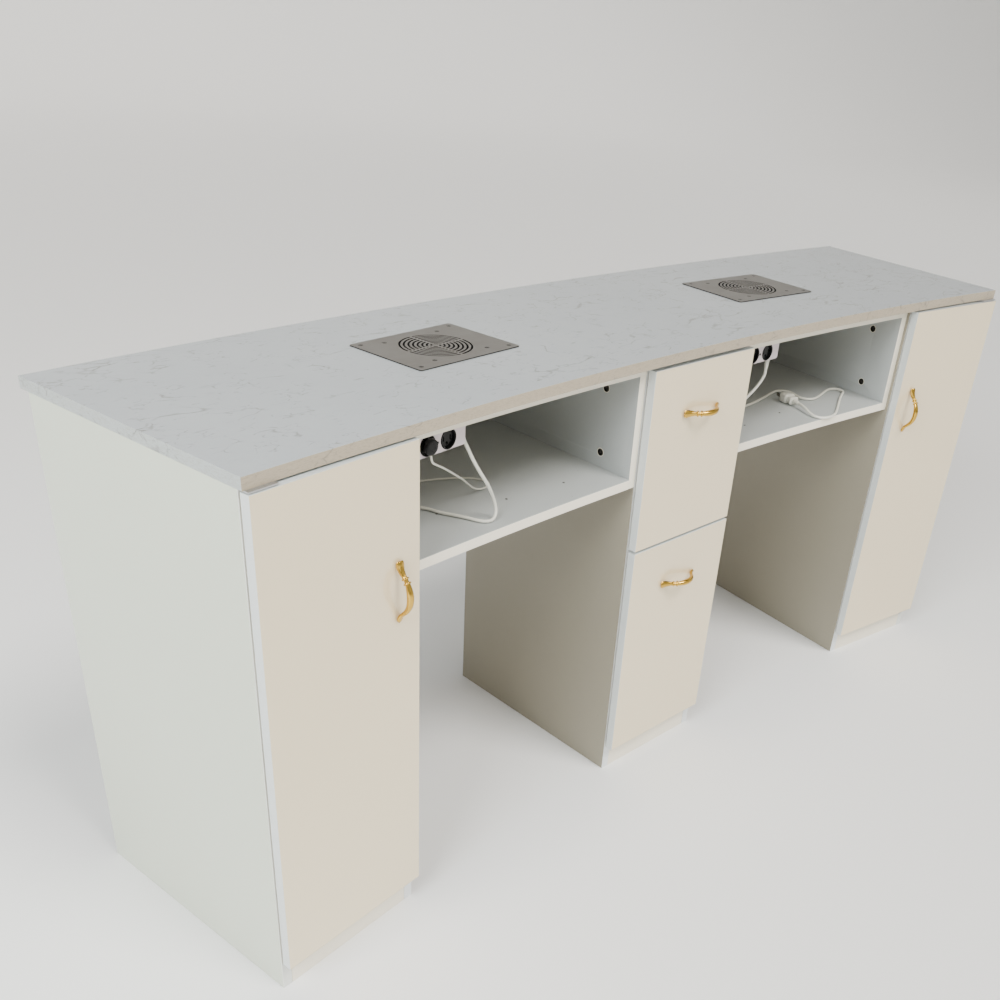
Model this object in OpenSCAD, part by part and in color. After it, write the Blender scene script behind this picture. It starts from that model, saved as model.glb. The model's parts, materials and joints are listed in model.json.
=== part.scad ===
// Two-station manicure table: a gently curved stone worktop on a drawer pedestal and two
// door cabinets, with an open cubby, a suction fan and a power strip at each station.
// The front, where the two technicians sit, faces -Y. The curve wraps round them.

/* [Worktop] */
// Height of the worktop's upper face
table_h = 780; // [650:5:940]
// Thickness of the stone worktop
top_t = 16; // [12:1:30]
// Depth of the worktop on its centre line
top_d = 427; // [380:1:560]
// Radius of the worktop's front edge
front_r = 6700; // [5500:50:9000]
// Radius of the worktop's back edge
back_r = 8600; // [7000:50:12000]
// How far the worktop reaches in front of the drawer pedestal
front_over = 20; // [10:1:40]
// How far the worktop passes each cabinet's outer side
end_over = 1; // [0:0.5:10]

/* [Boards] */
// Thickness of the carcass boards
board_t = 16; // [12:1:20]
// Thickness of the cubby walls
wall_t = 14; // [10:1:18]
// Thickness of the back panels
back_t = 5; // [3:1:9]
// Thickness of the door and drawer fronts
front_t = 15; // [14:1:20]
// Gap behind the closed fronts
front_gap = 2.5; // [2:0.25:4]
// Height of the plinth
plinth_h = 50; // [35:1:90]

/* [Cabinets] */
// Width of each door cabinet
wing_w = 254; // [210:1:320]
// Depth of each door cabinet
wing_d = 412; // [360:1:480]
// Distance from the centre line to each cabinet's inner front corner
wing_x = 594.5; // [500:0.5:760]
// How far that corner stands in front of the pedestal
wing_y = 32; // [20:1:45]
// Angle that each cabinet is turned inwards
wing_a = 7.4; // [5:0.1:9]
// Gap between a door's top and the worktop
door_top_gap = 3; // [2.5:0.5:8]
// Height of the shelf inside each cabinet
inner_shelf_z = 380; // [200:5:600]

/* [Drawers] */
// Width of the drawer pedestal
ped_w = 248; // [220:1:320]
// Depth of the drawer pedestal
ped_d = 404; // [360:1:470]
// Gap between the upper drawer front and the worktop
drawer_top_gap = 7; // [4:1:12]
// Height of the upper drawer's front
upper_h = 301; // [220:1:340]
// Gap between the two drawer fronts
split_gap = 4; // [2:0.5:8]
// Height of the upper drawer's box
upper_box_h = 190; // [120:5:200]
// Height of the lower drawer's box
lower_box_h = 280; // [160:5:300]
// Depth of the drawer boxes
box_d = 360; // [300:5:375]
// Thickness of the drawer box boards
box_t = 12; // [9:1:14]

/* [Cubbies] */
// Height of the opening between shelf and ceiling
cubby_h = 166; // [130:1:220]
// Depth of the cubby boards from the pedestal's front
cubby_d = 385; // [340:1:395]

/* [Suction] */
// Distance from the centre line to a vent's centre
vent_x = 374; // [340:1:420]
// Distance from the pedestal's front to a vent's centre
vent_y = 194; // [160:1:230]
// Angle that each vent is turned inwards
vent_a = 5.2; // [0:0.1:8]
// Width of a vent plate
plate_w = 200; // [160:1:240]
// Depth of a vent plate
plate_d = 150; // [140:1:180]
// Thickness of a vent plate
plate_t = 1.5; // [1.5:0.1:2.5]
// Side of the square fan
fan_s = 120; // [100:1:124]
// Distance between the fan's fixing holes
fan_pitch = 105; // [88:1:108]
// Thickness of the fan
fan_t = 25; // [20:1:28]

/* [Handles] */
// Distance between a handle's two feet
pull_cc = 64; // [48:1:96]
// How far a handle stands out
pull_out = 26; // [20:1:32]
// Distance from a front's edge to its handle
pull_in = 39; // [30:1:60]
// Height of the door handles' centre
door_pull_z = 566; // [450:1:640]
// Distance from a drawer front's top to its handle
drawer_pull_in = 80; // [40:1:110]

/* [Power] */
// Length of a power strip
strip_l = 94; // [90:1:130]
// Height of a power strip
strip_h = 32; // [31:1:44]
// Depth of a power strip
strip_d = 24; // [18:1:34]
// Diameter of a socket
socket_d = 28; // [24:0.5:30]
// Diameter of the white mains leads
lead_d = 5; // [4:0.5:6]
// Diameter of the fan's lead
fan_lead_d = 3; // [2.5:0.5:4]

/* [Hidden] */
arc_fn = 256;                                // facets of the long edge curves
round_fn = 48;
eps = 0.01;
cut = 60;                                    // how far cutting shapes run past what they cut
clear = 0.3;

// Heights
under_z = table_h - top_t;                   // underside of the worktop
ceiling_z = under_z - board_t;               // underside of the cubby's top board
shelf_z = ceiling_z - cubby_h;               // upper face of the cubby shelf
door_top_z = under_z - door_top_gap;
upper_top_z = under_z - drawer_top_gap;
upper_low_z = upper_top_z - upper_h;
lower_top_z = upper_low_z - split_gap;

// Depths, measured from the pedestal's front face
front_face = -front_gap - front_t;           // outer face of the doors and drawer fronts
top_back = top_d - front_over;
cubby_front = front_over;                    // setback of the cubby boards from the front edge
wing_out = wing_w + end_over;
door_corner_y = -wing_y - wing_w * sin(wing_a) + front_face * cos(wing_a);
mid_y = (top_back + door_corner_y) / 2;      // puts the origin under the middle of the table
ped_half = ped_w / 2;
wall_set = 6;                                // setback of the outer cubby wall in its cabinet

// Doors
door_reveal = 1;                             // door edge to cabinet edge
pivot_in = 5.5;                              // door's edge to its pivot
pivot_x = -wing_w + door_reveal + pivot_in;
pivot_y = front_face + 6;
pivot_r = 3;
pivot_fit = 0.05;
pivot_len = 12;
bracket_t = 2;
bracket_x = -wing_w + board_t + 2;
bracket_w = 24;
bracket_d = 30;
catch_size = [30, 16, 12];

// Handles
bow_t = 4;                                   // half the thickness of the bow
foot_r = 6.5;
foot_t = 5;
foot_l = 13;                                 // how far a foot runs past the bow's end
foot_rod_r = 2.4;
foot_rod_y = 2.8;

// Drawers
drawer_w = ped_w - 3;
open_half = ped_half - board_t;              // half the pedestal's inner width
slide_room = 13;                             // each side, between pedestal and drawer box
box_half = open_half - slide_room;
slide_l = 350;
rail_hs = [45, 34, 24];                      // fixed rail, link, drawer runner
box_front = -front_gap;
upper_box_z = upper_low_z + 24;
lower_box_z = plinth_h + board_t + 22;
floor_t = 6;
floor_z = 8;                                 // drawer floor above the box's lower edge

// Vents and fans
plate_r = 4;                                 // plate's corner radius
plate_screw_in = 12;
head_r = 3.5;
head_t = 0.8;
screw_r = 1.9;
anchor_l = 9;                                // depth of the plate screws' holes in the stone
fan_bore_r = fan_s / 2 - 3;
fan_top_z = table_h;
fan_low_z = fan_top_z - fan_t;
guard_t = 2.5;
hub_r = 19;
shaft_r = 2;
shaft_fit = 0.05;
grille_pitch = 6.6;
grille_slot = 2.6;
grille_rings = 8;
grille_web = 3;

// Connector bolts through the cubby walls
bolt_ys = [66, 320];
bolt_zs = [shelf_z + 25, ceiling_z - 36];
bolt_head_r = 5.7;
bolt_r = 3;
bolt_sink = 3;                               // the head lies this deep in the wall
bolt_head_t = 5;

// Power strips: the left one hangs beside its cabinet, the right one beside the pedestal
left_strip = [wall_t + 8, 15];               // in the left cabinet's frame
right_strip = [ped_half + wall_t + 1, 10];
strip_z = ceiling_z - strip_h;
socket_in = 32;                              // strip's right end to its nearer socket
socket_gap = 38;
socket_z = strip_z + strip_h / 2 - 1;
socket_sink = 10;
slot_size = [2.4, 9, 7];
pin_gap = 6.3;                               // a pin's distance from its plug's axis
gland_l = 20;
gland_at = [strip_l - 10, strip_d / 2];      // the right lead leaves the strip's underside
left_gland_drop = 4;                         // the left lead leaves its end, this far down
left_gland_a = 160;                          // and slants down

// Cord routes: points chosen by hand, from the gland to the coil or the plug
left_route = [
    [-476, 10.5, 725], [-474, 7, 714], [-470, 3, 702], [-464, 0, 688], [-454, 0, 672],
    [-441.5, 3, 656], [-428.5, 8, 640], [-417, 13, 624], [-409, 15.5, 609], [-407, 14, 598],
    [-411, 10.5, 589.5], [-419.5, 8, 585.5], [-429, 11, 585], [-436, 20.5, 585], [-442, 34.5, 585],
    [-451, 52, 585], [-462, 72, 585], [-468, 90, 585], [-477, 104, 585], [-492, 112, 585],
    [-512, 114, 585]
];
fan_route = [
    [-550, -16.5, 720], [-546, -13, 711.5], [-538, -6, 703], [-524, 5, 694], [-492, 27, 674],
    [-455, 48, 649], [-419, 72, 624], [-388, 90, 600], [-368, 100, 588], [-350, 104, 584],
    [-336, 110, 584], [-330, 122, 584], [-335, 135, 584], [-346, 147, 584], [-364, 160, 584],
    [-388, 171, 584], [-413, 180, 584], [-440, 194, 584], [-462, 214, 584], [-477, 236, 587],
    [-485, 250, 600], [-488, 256, 630], [-488, 256, 690], [-488, 256, 748]
];
right_route = [
    [223, 22, 696], [222, 22, 684], [213, 24, 670], [198, 25, 658], [181, 28, 645], [167, 34, 627],
    [157, 43, 607], [152, 57, 592], [153, 76, 585.5], [161, 96, 585], [178, 110, 585],
    [202, 115, 585], [240, 113, 585], [280, 112, 585], [322, 114, 585], [350, 117, 585],
    [386, 124, 585], [421, 132, 585], [444, 134.5, 585], [459, 127, 585], [462.5, 111, 585],
    [455.5, 95, 585], [452, 79.5, 585], [459, 68, 585], [474, 63.5, 585], [503, 69.5, 585],
    [529, 77, 585], [543, 80, 585], [555, 80, 585], [563.7, 75, 585], [567, 66, 585],
    [564.4, 58, 585], [558, 53, 585], [545, 46.7, 585], [518, 34, 585], [476, 11, 585],
    [450, -3, 585], [429, -13, 585], [407, -17.5, 585], [388, -13, 585], [380.5, 1, 585.5],
    [384.5, 16, 587.5], [391.5, 30, 590], [398.7, 44.2, 591], [402, 53.5, 591]
];
coil_c = [-512, 141.6];
coil_r = 25;                                 // mean radius of the coil's turns
coil_tail = [
    [-537, 142, 590.2], [-537.5, 156, 590], [-541, 171, 589], [-547, 186, 590],
    [-551, 201, 591]
];
plug_axis_z = 9;                             // plug's axis above the shelf
right_plug_at = [402, 53.5, shelf_z + plug_axis_z];
right_plug_a = -18;
left_plug_at = [-551, 201, shelf_z + plug_axis_z];
left_plug_a = 15;

// ---------- placing ----------
function wing_pt(x, y) = [-wing_x + x * cos(wing_a) - y * sin(wing_a),
                          -wing_y + x * sin(wing_a) + y * cos(wing_a)];

module framed() { translate([0, -mid_y, 0]) children(); }
module right_hand() { mirror([1, 0, 0]) children(); }
module in_wing() { translate([-wing_x, -wing_y, 0]) rotate([0, 0, wing_a]) children(); }
module left_wing() { framed() in_wing() children(); }
module right_wing() { framed() right_hand() in_wing() children(); }
module at_vent() { translate([-vent_x, vent_y, 0]) rotate([0, 0, vent_a]) children(); }
module both() {
    children();
    right_hand() children();
}
module corners(pitch_x, pitch_y) {
    for (x = [-pitch_x / 2, pitch_x / 2], y = [-pitch_y / 2, pitch_y / 2])
        translate([x, y, 0]) children();
}
module board(x, y, z) {
    translate([x[0], y[0], z[0]]) cube([x[1] - x[0], y[1] - y[0], z[1] - z[0]]);
}
module rounded_rect(w, h, r) {
    square([w - 2 * r, h], center = true);
    square([w, h - 2 * r], center = true);
    for (x = [-w / 2 + r, w / 2 - r], y = [-h / 2 + r, h / 2 - r])
        translate([x, y]) circle(r, $fn = round_fn);
}

// ---------- worktop ----------
module front_curve(inset) {
    translate([0, -front_over - front_r]) rotate(180 / arc_fn)
        circle(front_r + inset, $fn = arc_fn);
}
module worktop_plan() {
    ends = [wing_pt(-wing_out, -cut), wing_pt(-wing_out, wing_d + 2 * cut)];
    difference() {
        intersection() {
            polygon([ends[0], ends[1], [-ends[1][0], ends[1][1]], [-ends[0][0], ends[0][1]]]);
            translate([0, top_back - back_r]) circle(back_r, $fn = arc_fn);
        }
        front_curve(0);
    }
}
module vent_opening(z0, z1) {
    at_vent() translate([0, 0, z0]) linear_extrude(z1 - z0)
        square(fan_s + 2 * clear, center = true);
}
module worktop() {
    color("lightgray") framed() difference() {
        translate([0, 0, under_z]) linear_extrude(top_t) worktop_plan();
        both() {
            vent_opening(under_z - 1, table_h + 1);
            at_vent() translate([0, 0, table_h - anchor_l]) plate_screw_places()
                cylinder(r = screw_r + 0.1, h = anchor_l + 1, $fn = round_fn);
        }
    }
}

// ---------- vents ----------
module plate_screw_places() {
    corners(plate_w - 2 * plate_screw_in, plate_d - 2 * plate_screw_in) children();
}
module fan_screw_places() { corners(fan_pitch, fan_pitch) children(); }
module screw_hole() {
    translate([0, 0, -1]) cylinder(r = screw_r + 0.3, h = plate_t + 2, $fn = round_fn);
    translate([0, 0, plate_t - head_t]) cylinder(r = head_r + 0.2, h = 1, $fn = round_fn);
}
module grille_slots() {
    difference() {
        for (i = [1 : grille_rings]) difference() {
            circle(i * grille_pitch + grille_slot / 2, $fn = 96);
            circle(i * grille_pitch - grille_slot / 2, $fn = 96);
        }
        for (a = [0, 90]) rotate(a) square([fan_s, grille_web], center = true);
    }
}
module vent_plate() {
    framed() at_vent() translate([0, 0, fan_top_z]) difference() {
        linear_extrude(plate_t) difference() {
            rounded_rect(plate_w, plate_d, plate_r);
            grille_slots();
        }
        plate_screw_places() screw_hole();
        fan_screw_places() screw_hole();
    }
}
module vent_screw(length) {
    translate([0, 0, plate_t - head_t]) cylinder(r = head_r, h = head_t, $fn = round_fn);
    translate([0, 0, -length]) cylinder(r = screw_r, h = length + plate_t - head_t,
                                        $fn = round_fn);
}
module vent_screws() {
    color("dimgray") framed() both() at_vent() translate([0, 0, fan_top_z]) {
        plate_screw_places() vent_screw(anchor_l - 1);
        fan_screw_places() vent_screw(fan_t - 2);
    }
}
module fan_frame() {
    framed() at_vent() translate([0, 0, fan_low_z]) {
        difference() {
            linear_extrude(fan_t) difference() {
                rounded_rect(fan_s, fan_s, 4);
                circle(fan_bore_r, $fn = 96);
            }
            fan_screw_places() translate([0, 0, -1])
                cylinder(r = screw_r + 0.1, h = fan_t + 2, $fn = round_fn);
        }
        cylinder(r = hub_r, h = 3, $fn = round_fn);
        cylinder(r = shaft_r, h = fan_t - 5, $fn = round_fn);
        for (a = [0 : 90 : 270]) rotate([0, 0, a + 20])
            translate([hub_r - 1, -2, 0]) cube([fan_bore_r - hub_r + 2, 4, 3]);
    }
}
module fan_rotor() {
    tip = fan_bore_r - 1.5;
    framed() at_vent() translate([0, 0, fan_low_z + 3.5]) difference() {
        union() {
            cylinder(r = hub_r, h = fan_t - 6, $fn = round_fn);
            for (i = [0 : 6]) rotate([0, 0, i * 360 / 7])
                translate([hub_r - 1, 0, (fan_t - 6) / 2]) rotate([38, 0, 0])
                    translate([0, -12, -0.8]) cube([tip - hub_r - 1, 24, 1.6]);
        }
        translate([0, 0, -1]) cylinder(r = shaft_r + shaft_fit, h = fan_t - 7.5,
                                       $fn = round_fn);
    }
}
module fan_guard_plan() {
    difference() {
        union() {
            for (i = [1 : 4]) difference() {
                circle(i * 13 + 1, $fn = 96);
                circle(i * 13 - 1, $fn = 96);
            }
            for (a = [45, 135]) rotate(a) square([fan_pitch * sqrt(2), 4], center = true);
            corners(fan_pitch, fan_pitch) circle(5, $fn = round_fn);
        }
        corners(fan_pitch, fan_pitch) circle(screw_r + 0.1, $fn = round_fn);
    }
}
module fan_guards() {
    color("dimgray") framed() both() at_vent()
        translate([0, 0, fan_low_z - guard_t]) linear_extrude(guard_t) fan_guard_plan();
}
module left_vent_plate() { color("silver") vent_plate(); }
module right_vent_plate() { color("silver") right_hand() vent_plate(); }
module left_fan_frame() { color("dimgray") fan_frame(); }
module right_fan_frame() { color("dimgray") right_hand() fan_frame(); }
module left_fan_rotor() { color("gray") fan_rotor(); }
module right_fan_rotor() { color("gray") right_hand() fan_rotor(); }

// ---------- cubbies ----------
// where the line through p and q meets the line of the cubby's back
function meet(p, q) =
    let (a = [-ped_half, cubby_d], along = wing_pt(0, cubby_d) - a, d = q - p,
         t = (along[0] * (p[1] - a[1]) - along[1] * (p[0] - a[0]))
             / (along[1] * d[0] - along[0] * d[1]))
    p + d * t;
// over is how far a board runs over the two walls: 0 for the shelf, wall_t for the top
module cubby_plan(over) {
    inner = -ped_half - wall_t + over;
    outer = wall_t - over;
    difference() {
        polygon([[inner, -cut], meet([inner, -cut], [inner, cut]),
                 meet(wing_pt(outer, -cut), wing_pt(outer, cut)), wing_pt(outer, -cut)]);
        front_curve(cubby_front);
    }
}
// the strip of the given depth behind the cubby boards, from pedestal to cabinet
module behind_cubby(depth) {
    polygon([[-ped_half, cubby_d], [-ped_half, cubby_d + depth],
             wing_pt(0, cubby_d + depth), wing_pt(0, cubby_d)]);
}
module cubby_top() {
    framed() difference() {
        translate([0, 0, ceiling_z]) linear_extrude(board_t) cubby_plan(wall_t);
        vent_opening(ceiling_z - 1, under_z + 1);
    }
}
module cubby_shelf() {
    framed() translate([0, 0, shelf_z - board_t]) linear_extrude(board_t) cubby_plan(0);
}
module bolt_places() {
    for (y = bolt_ys, z = bolt_zs) translate([0, y, z]) children();
}
// a bolt that runs along +X from a recess in a wall into the panel behind it
module bolt() {
    rotate([0, 90, 0]) {
        translate([0, 0, bolt_sink]) cylinder(r = bolt_head_r, h = bolt_head_t, $fn = round_fn);
        translate([0, 0, bolt_sink]) cylinder(r = bolt_r, h = wall_t + board_t - bolt_sink - 2,
                                              $fn = round_fn);
    }
}
module bolt_hole(radius, from, to) {
    rotate([0, 90, 0]) translate([0, 0, from]) cylinder(r = radius, h = to - from,
                                                        $fn = round_fn);
}
module wall_holes() {
    bolt_places() {
        bolt_hole(bolt_head_r + 0.3, -1, bolt_sink + bolt_head_t);
        bolt_hole(bolt_r + 0.1, 0, wall_t + 1);
    }
}
module at_inner_wall() { translate([-ped_half - wall_t, 0, 0]) children(); }
module at_outer_wall() { in_wing() translate([wall_t, 0, 0]) mirror([1, 0, 0]) children(); }
module cubby_walls() {
    low = shelf_z - board_t;
    framed() {
        difference() {
            at_inner_wall() board([0, wall_t], [0, cubby_d + 1], [low, ceiling_z]);
            at_inner_wall() wall_holes();
            translate([0, 0, low - 1]) linear_extrude(ceiling_z - low + 2) behind_cubby(cut);
        }
        difference() {
            at_outer_wall() board([0, wall_t], [wall_set, cubby_d + 5], [low, ceiling_z]);
            at_outer_wall() wall_holes();
            translate([0, 0, low - 1]) linear_extrude(ceiling_z - low + 2) behind_cubby(cut);
        }
    }
}
module connector_bolts() {
    color("dimgray") framed() both() {
        at_inner_wall() bolt_places() bolt();
        at_outer_wall() bolt_places() bolt();
    }
}
module cubby_backs() {
    low = shelf_z - board_t;
    color("whitesmoke") framed() both() translate([0, 0, low])
        linear_extrude(under_z - low) behind_cubby(back_t);
}
module left_cubby_top() { color("ivory") cubby_top(); }
module right_cubby_top() { color("ivory") right_hand() cubby_top(); }
module left_cubby_shelf() { color("whitesmoke") cubby_shelf(); }
module right_cubby_shelf() { color("whitesmoke") right_hand() cubby_shelf(); }
module left_cubby_walls() { color("whitesmoke") cubby_walls(); }
module right_cubby_walls() { color("whitesmoke") right_hand() cubby_walls(); }

// ---------- power ----------
// a strip's own frame: X along it, its face at y = 0, z = 0 its lower edge
module on_left_strip() {
    framed() in_wing() translate([left_strip[0], left_strip[1], strip_z]) children();
}
module on_right_strip() {
    framed() translate([right_strip[0], right_strip[1], strip_z]) children();
}
module socket_places() {
    for (i = [0, 1]) translate([strip_l - socket_in - i * socket_gap, 0, socket_z - strip_z])
        rotate([-90, 0, 0]) children();
}
module strip_body() {
    difference() {
        translate([strip_l / 2, 0, strip_h / 2]) rotate([-90, 0, 0]) linear_extrude(strip_d)
            rounded_rect(strip_l, strip_h, 4);
        socket_places() translate([0, 0, -1])
            cylinder(r = socket_d / 2 + 0.05, h = socket_sink + 1, $fn = round_fn);
    }
}
module socket_insert() {
    difference() {
        translate([0, 0, -1]) cylinder(r = socket_d / 2, h = socket_sink + 1, $fn = round_fn);
        translate([0, 0, -2]) cylinder(r = socket_d / 2 - 2, h = 3, $fn = round_fn);
        for (x = [-pin_gap, pin_gap]) translate([x, 0, slot_size[1] / 2])
            cube([slot_size[0], slot_size[2], slot_size[1]], center = true);
    }
}
module power_sockets() {
    color("black") {
        on_left_strip() socket_places() socket_insert();
        on_right_strip() socket_places() socket_insert();
    }
}
module left_power_strip() { color("lavenderblush") on_left_strip() strip_body(); }
module right_power_strip() { color("lavenderblush") on_right_strip() strip_body(); }
module gland() { cylinder(r1 = lead_d / 2 + 2, r2 = lead_d / 2 + 0.6, h = gland_l, $fn = round_fn); }
module lead_glands() {
    color("white") {
        on_left_strip() difference() {
            translate([strip_l, strip_d / 2, strip_h - left_gland_drop]) rotate([0, left_gland_a, 0])
                gland();
            translate([strip_l - gland_l, 0, 0]) cube([gland_l, strip_d, strip_h]);
        }
        on_right_strip() translate([gland_at[0], gland_at[1], 0]) rotate([180, 0, 0]) gland();
    }
}
// a two-pin plug: its strain relief starts at the origin and its pins point along +Y
module plug() {
    rotate([-90, 0, 0]) {
        cylinder(r1 = lead_d / 2 + 0.8, r2 = lead_d / 2 + 3, h = 14, $fn = round_fn);
        translate([0, 0, 14]) linear_extrude(5) rounded_rect(20, 15, 5);
        translate([0, 0, 19]) linear_extrude(8) rounded_rect(17, 13, 5);
        translate([0, 0, 27]) linear_extrude(18) rounded_rect(25, 17.4, 5);
        for (x = [-pin_gap, pin_gap]) translate([x, 0, 53])
            cube([1.5, 6.3, 17], center = true);
    }
}
module left_plug() {
    color("white") framed() translate(left_plug_at) rotate([0, 0, left_plug_a]) plug();
}
module right_plug() {
    color("white") framed() translate(right_plug_at) rotate([0, 0, right_plug_a]) plug();
}
module fan_plug() {
    color("black") on_left_strip()
        translate([strip_l - socket_in - socket_gap, 0, socket_z - strip_z]) rotate([90, 0, 0]) {
            translate([0, 0, 1 + clear]) cylinder(r = 11, h = 8, $fn = round_fn);
            for (x = [-pin_gap, pin_gap]) translate([x, 0, -0.5])
                cube([1.6, 6, 5], center = true);
        }
}

// ---------- cords ----------
// cross vectors at point i of a route: side is level, rise completes the frame
function heading(r, i) = let (a = r[max(i - 1, 0)], b = r[min(i + 1, len(r) - 1)])
    (b - a) / norm(b - a);
function level(h, before) = abs(h[2]) > 0.97 ? before : cross([0, 0, 1], h) / norm(cross([0, 0, 1], h));
function rings(r, i = 0, before = [1, 0, 0]) = i == len(r) ? [] :
    let (h = heading(r, i),
         flat = level(h, before),
         side = (flat - h * (flat * h)) / norm(flat - h * (flat * h)))
    concat([[side, cross(h, side)]], rings(r, i + 1, side));
module tube(route, diameter, sides = 8) {
    n = len(route);
    axes = rings(route);
    points = [for (i = [0 : n - 1], k = [0 : sides - 1])
        route[i] + (axes[i][0] * cos(360 * k / sides) + axes[i][1] * sin(360 * k / sides))
        * diameter / 2];
    walls = [for (i = [0 : n - 2], k = [0 : sides - 1])
        let (m = (k + 1) % sides)
        [i * sides + k, (i + 1) * sides + k, (i + 1) * sides + m, i * sides + m]];
    starts = [for (k = [0 : sides - 1]) k];
    ends = [for (k = [sides - 1 : -1 : 0]) (n - 1) * sides + k];
    polyhedron(points, concat(walls, [starts, ends]), convexity = 6);
}
module left_lead() {
    color("white") framed() {
        tube(left_route, lead_d);
        tube(coil_tail, lead_d);
    }
}
module left_lead_coil() {
    color("white") framed() translate([coil_c[0], coil_c[1], shelf_z + clear / 2])
        rotate_extrude($fn = round_fn) translate([coil_r - lead_d - clear, 0])
            square([2 * lead_d + 2 * clear, 2 * lead_d + clear]);
}
module right_lead() { color("white") framed() tube(right_route, lead_d); }
module fan_lead() { color("white") framed() tube(fan_route, fan_lead_d); }

// ---------- cabinets ----------
module bracket_plan() {
    translate([-wing_w + 2, pivot_y - 4]) square([bracket_x + bracket_w + wing_w - 2, -pivot_y + 3]);
    translate([bracket_x, -1 - eps]) square([bracket_w, bracket_d + 1]);
}
module bracket_notch(z) {
    translate([bracket_x - 0.2, -1, z]) cube([bracket_w + 0.4, bracket_d + 1.4, bracket_t]);
}
module outer_side() {
    board([-wing_w, -wing_w + board_t], [0, wing_d], [0, under_z]);
}
module inner_side() {
    difference() {
        board([-board_t, 0], [0, wing_d], [0, under_z]);
        mirror([1, 0, 0]) bolt_places() bolt_hole(bolt_r + 0.1, -1, board_t + 1);
    }
}
module inside(y, z) { board([-wing_w + board_t, -board_t], y, z); }
module cabinet_bottom() { inside([0, wing_d - back_t], [plinth_h, plinth_h + board_t]); }
module left_outer_side() { color("gainsboro") left_wing() outer_side(); }
module right_outer_side() { color("gainsboro") right_wing() outer_side(); }
module left_inner_side() { color("whitesmoke") left_wing() inner_side(); }
module right_inner_side() { color("whitesmoke") right_wing() inner_side(); }
module left_cabinet_bottom() { color("whitesmoke") left_wing() cabinet_bottom(); }
module right_cabinet_bottom() { color("whitesmoke") right_wing() cabinet_bottom(); }
module cabinet_shelf() {
    inside([25, wing_d - back_t], [inner_shelf_z, inner_shelf_z + board_t]);
}
module cabinet_shelves() {
    color("whitesmoke") {
        left_wing() cabinet_shelf();
        right_wing() cabinet_shelf();
    }
}
module cabinet_back() { inside([wing_d - back_t, wing_d], [plinth_h, under_z]); }
module cabinet_backs() {
    color("whitesmoke") {
        left_wing() cabinet_back();
        right_wing() cabinet_back();
    }
}
module wing_rails() {
    rail = 80;
    difference() {
        inside([0, rail], [ceiling_z, under_z]);
        bracket_notch(under_z - bracket_t);
    }
    inside([wing_d - back_t - rail, wing_d - back_t], [ceiling_z, under_z]);
}
module top_rails() {
    color("whitesmoke") {
        left_wing() wing_rails();
        right_wing() wing_rails();
        framed() {
            board([-open_half, open_half], [0, 80], [ceiling_z, under_z]);
            board([-open_half, open_half], [ped_d - back_t - 80, ped_d - back_t],
                  [ceiling_z, under_z]);
        }
    }
}
module wing_plinth() {
    difference() {
        inside([0, board_t], [0, plinth_h]);
        bracket_notch(plinth_h - bracket_t - 1);
        translate([bracket_x - 0.2, -1, plinth_h - bracket_t - 1])
            cube([bracket_w + 0.4, bracket_d, bracket_t + 2]);
    }
}
module plinths() {
    color("cornsilk") {
        left_wing() wing_plinth();
        right_wing() wing_plinth();
        framed() board([-open_half, open_half], [0, board_t], [0, plinth_h]);
    }
}
module pivots() {
    top_z = under_z - bracket_t;
    low_z = plinth_h - bracket_t - 1;
    translate([0, 0, top_z]) linear_extrude(bracket_t) bracket_plan();
    translate([pivot_x, pivot_y, top_z - pivot_len - 1])
        cylinder(r = pivot_r, h = pivot_len + 1, $fn = round_fn);
    translate([0, 0, low_z]) linear_extrude(bracket_t) bracket_plan();
    translate([bracket_x, 0, low_z + bracket_t - eps]) cube([bracket_w, board_t, 1 + eps]);
    translate([pivot_x, pivot_y, low_z + bracket_t])
        cylinder(r = pivot_r, h = pivot_len + 1, $fn = round_fn);
}
module door_pivots() {
    color("silver") {
        left_wing() pivots();
        right_wing() pivots();
    }
}
module catch() {
    translate([-board_t - catch_size[0] - 4, -front_gap + clear, ceiling_z - catch_size[2]])
        cube([catch_size[0], catch_size[1], catch_size[2]]);
}
module door_catches() {
    color("gray") {
        left_wing() catch();
        right_wing() catch();
    }
}

// ---------- doors ----------
module door() {
    difference() {
        board([-wing_w + door_reveal, -door_reveal], [front_face, -front_gap],
              [plinth_h, door_top_z]);
        for (z = [plinth_h - 1, door_top_z - pivot_len - 1]) translate([pivot_x, pivot_y, z])
            cylinder(r = pivot_r + pivot_fit, h = pivot_len + 2, $fn = round_fn);
    }
}
// a bow handle: feet pull_cc apart along X, standing out along -Y from y = 0
module pull() {
    rise = pull_out - 2 * bow_t;
    bow_r = (pow(pull_cc / 2, 2) + pow(rise, 2)) / (2 * rise);
    half = asin(pull_cc / 2 / bow_r);
    translate([0, bow_r - pull_out + bow_t, 0])
        rotate([0, 0, -90 - half]) rotate_extrude(angle = 2 * half, $fn = 96)
            translate([bow_r, 0]) circle(bow_t, $fn = round_fn);
    for (side = [-1, 1]) {
        translate([side * pull_cc / 2, 0, 0]) rotate([90, 0, 0])
            cylinder(r = foot_r, h = foot_t, $fn = round_fn);
        translate([side * pull_cc / 2, -foot_rod_y, 0]) rotate([0, side * 90, 0])
            cylinder(r = foot_rod_r, h = foot_l, $fn = round_fn);
    }
}
module door_pull() {
    translate([-pull_in, front_face, door_pull_z]) rotate([0, 90, 0]) pull();
}
module left_door() { color("linen") left_wing() door(); }
module right_door() { color("linen") right_wing() door(); }
module left_door_handle() { color("gold") left_wing() door_pull(); }
module right_door_handle() { color("gold") right_wing() door_pull(); }

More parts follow.
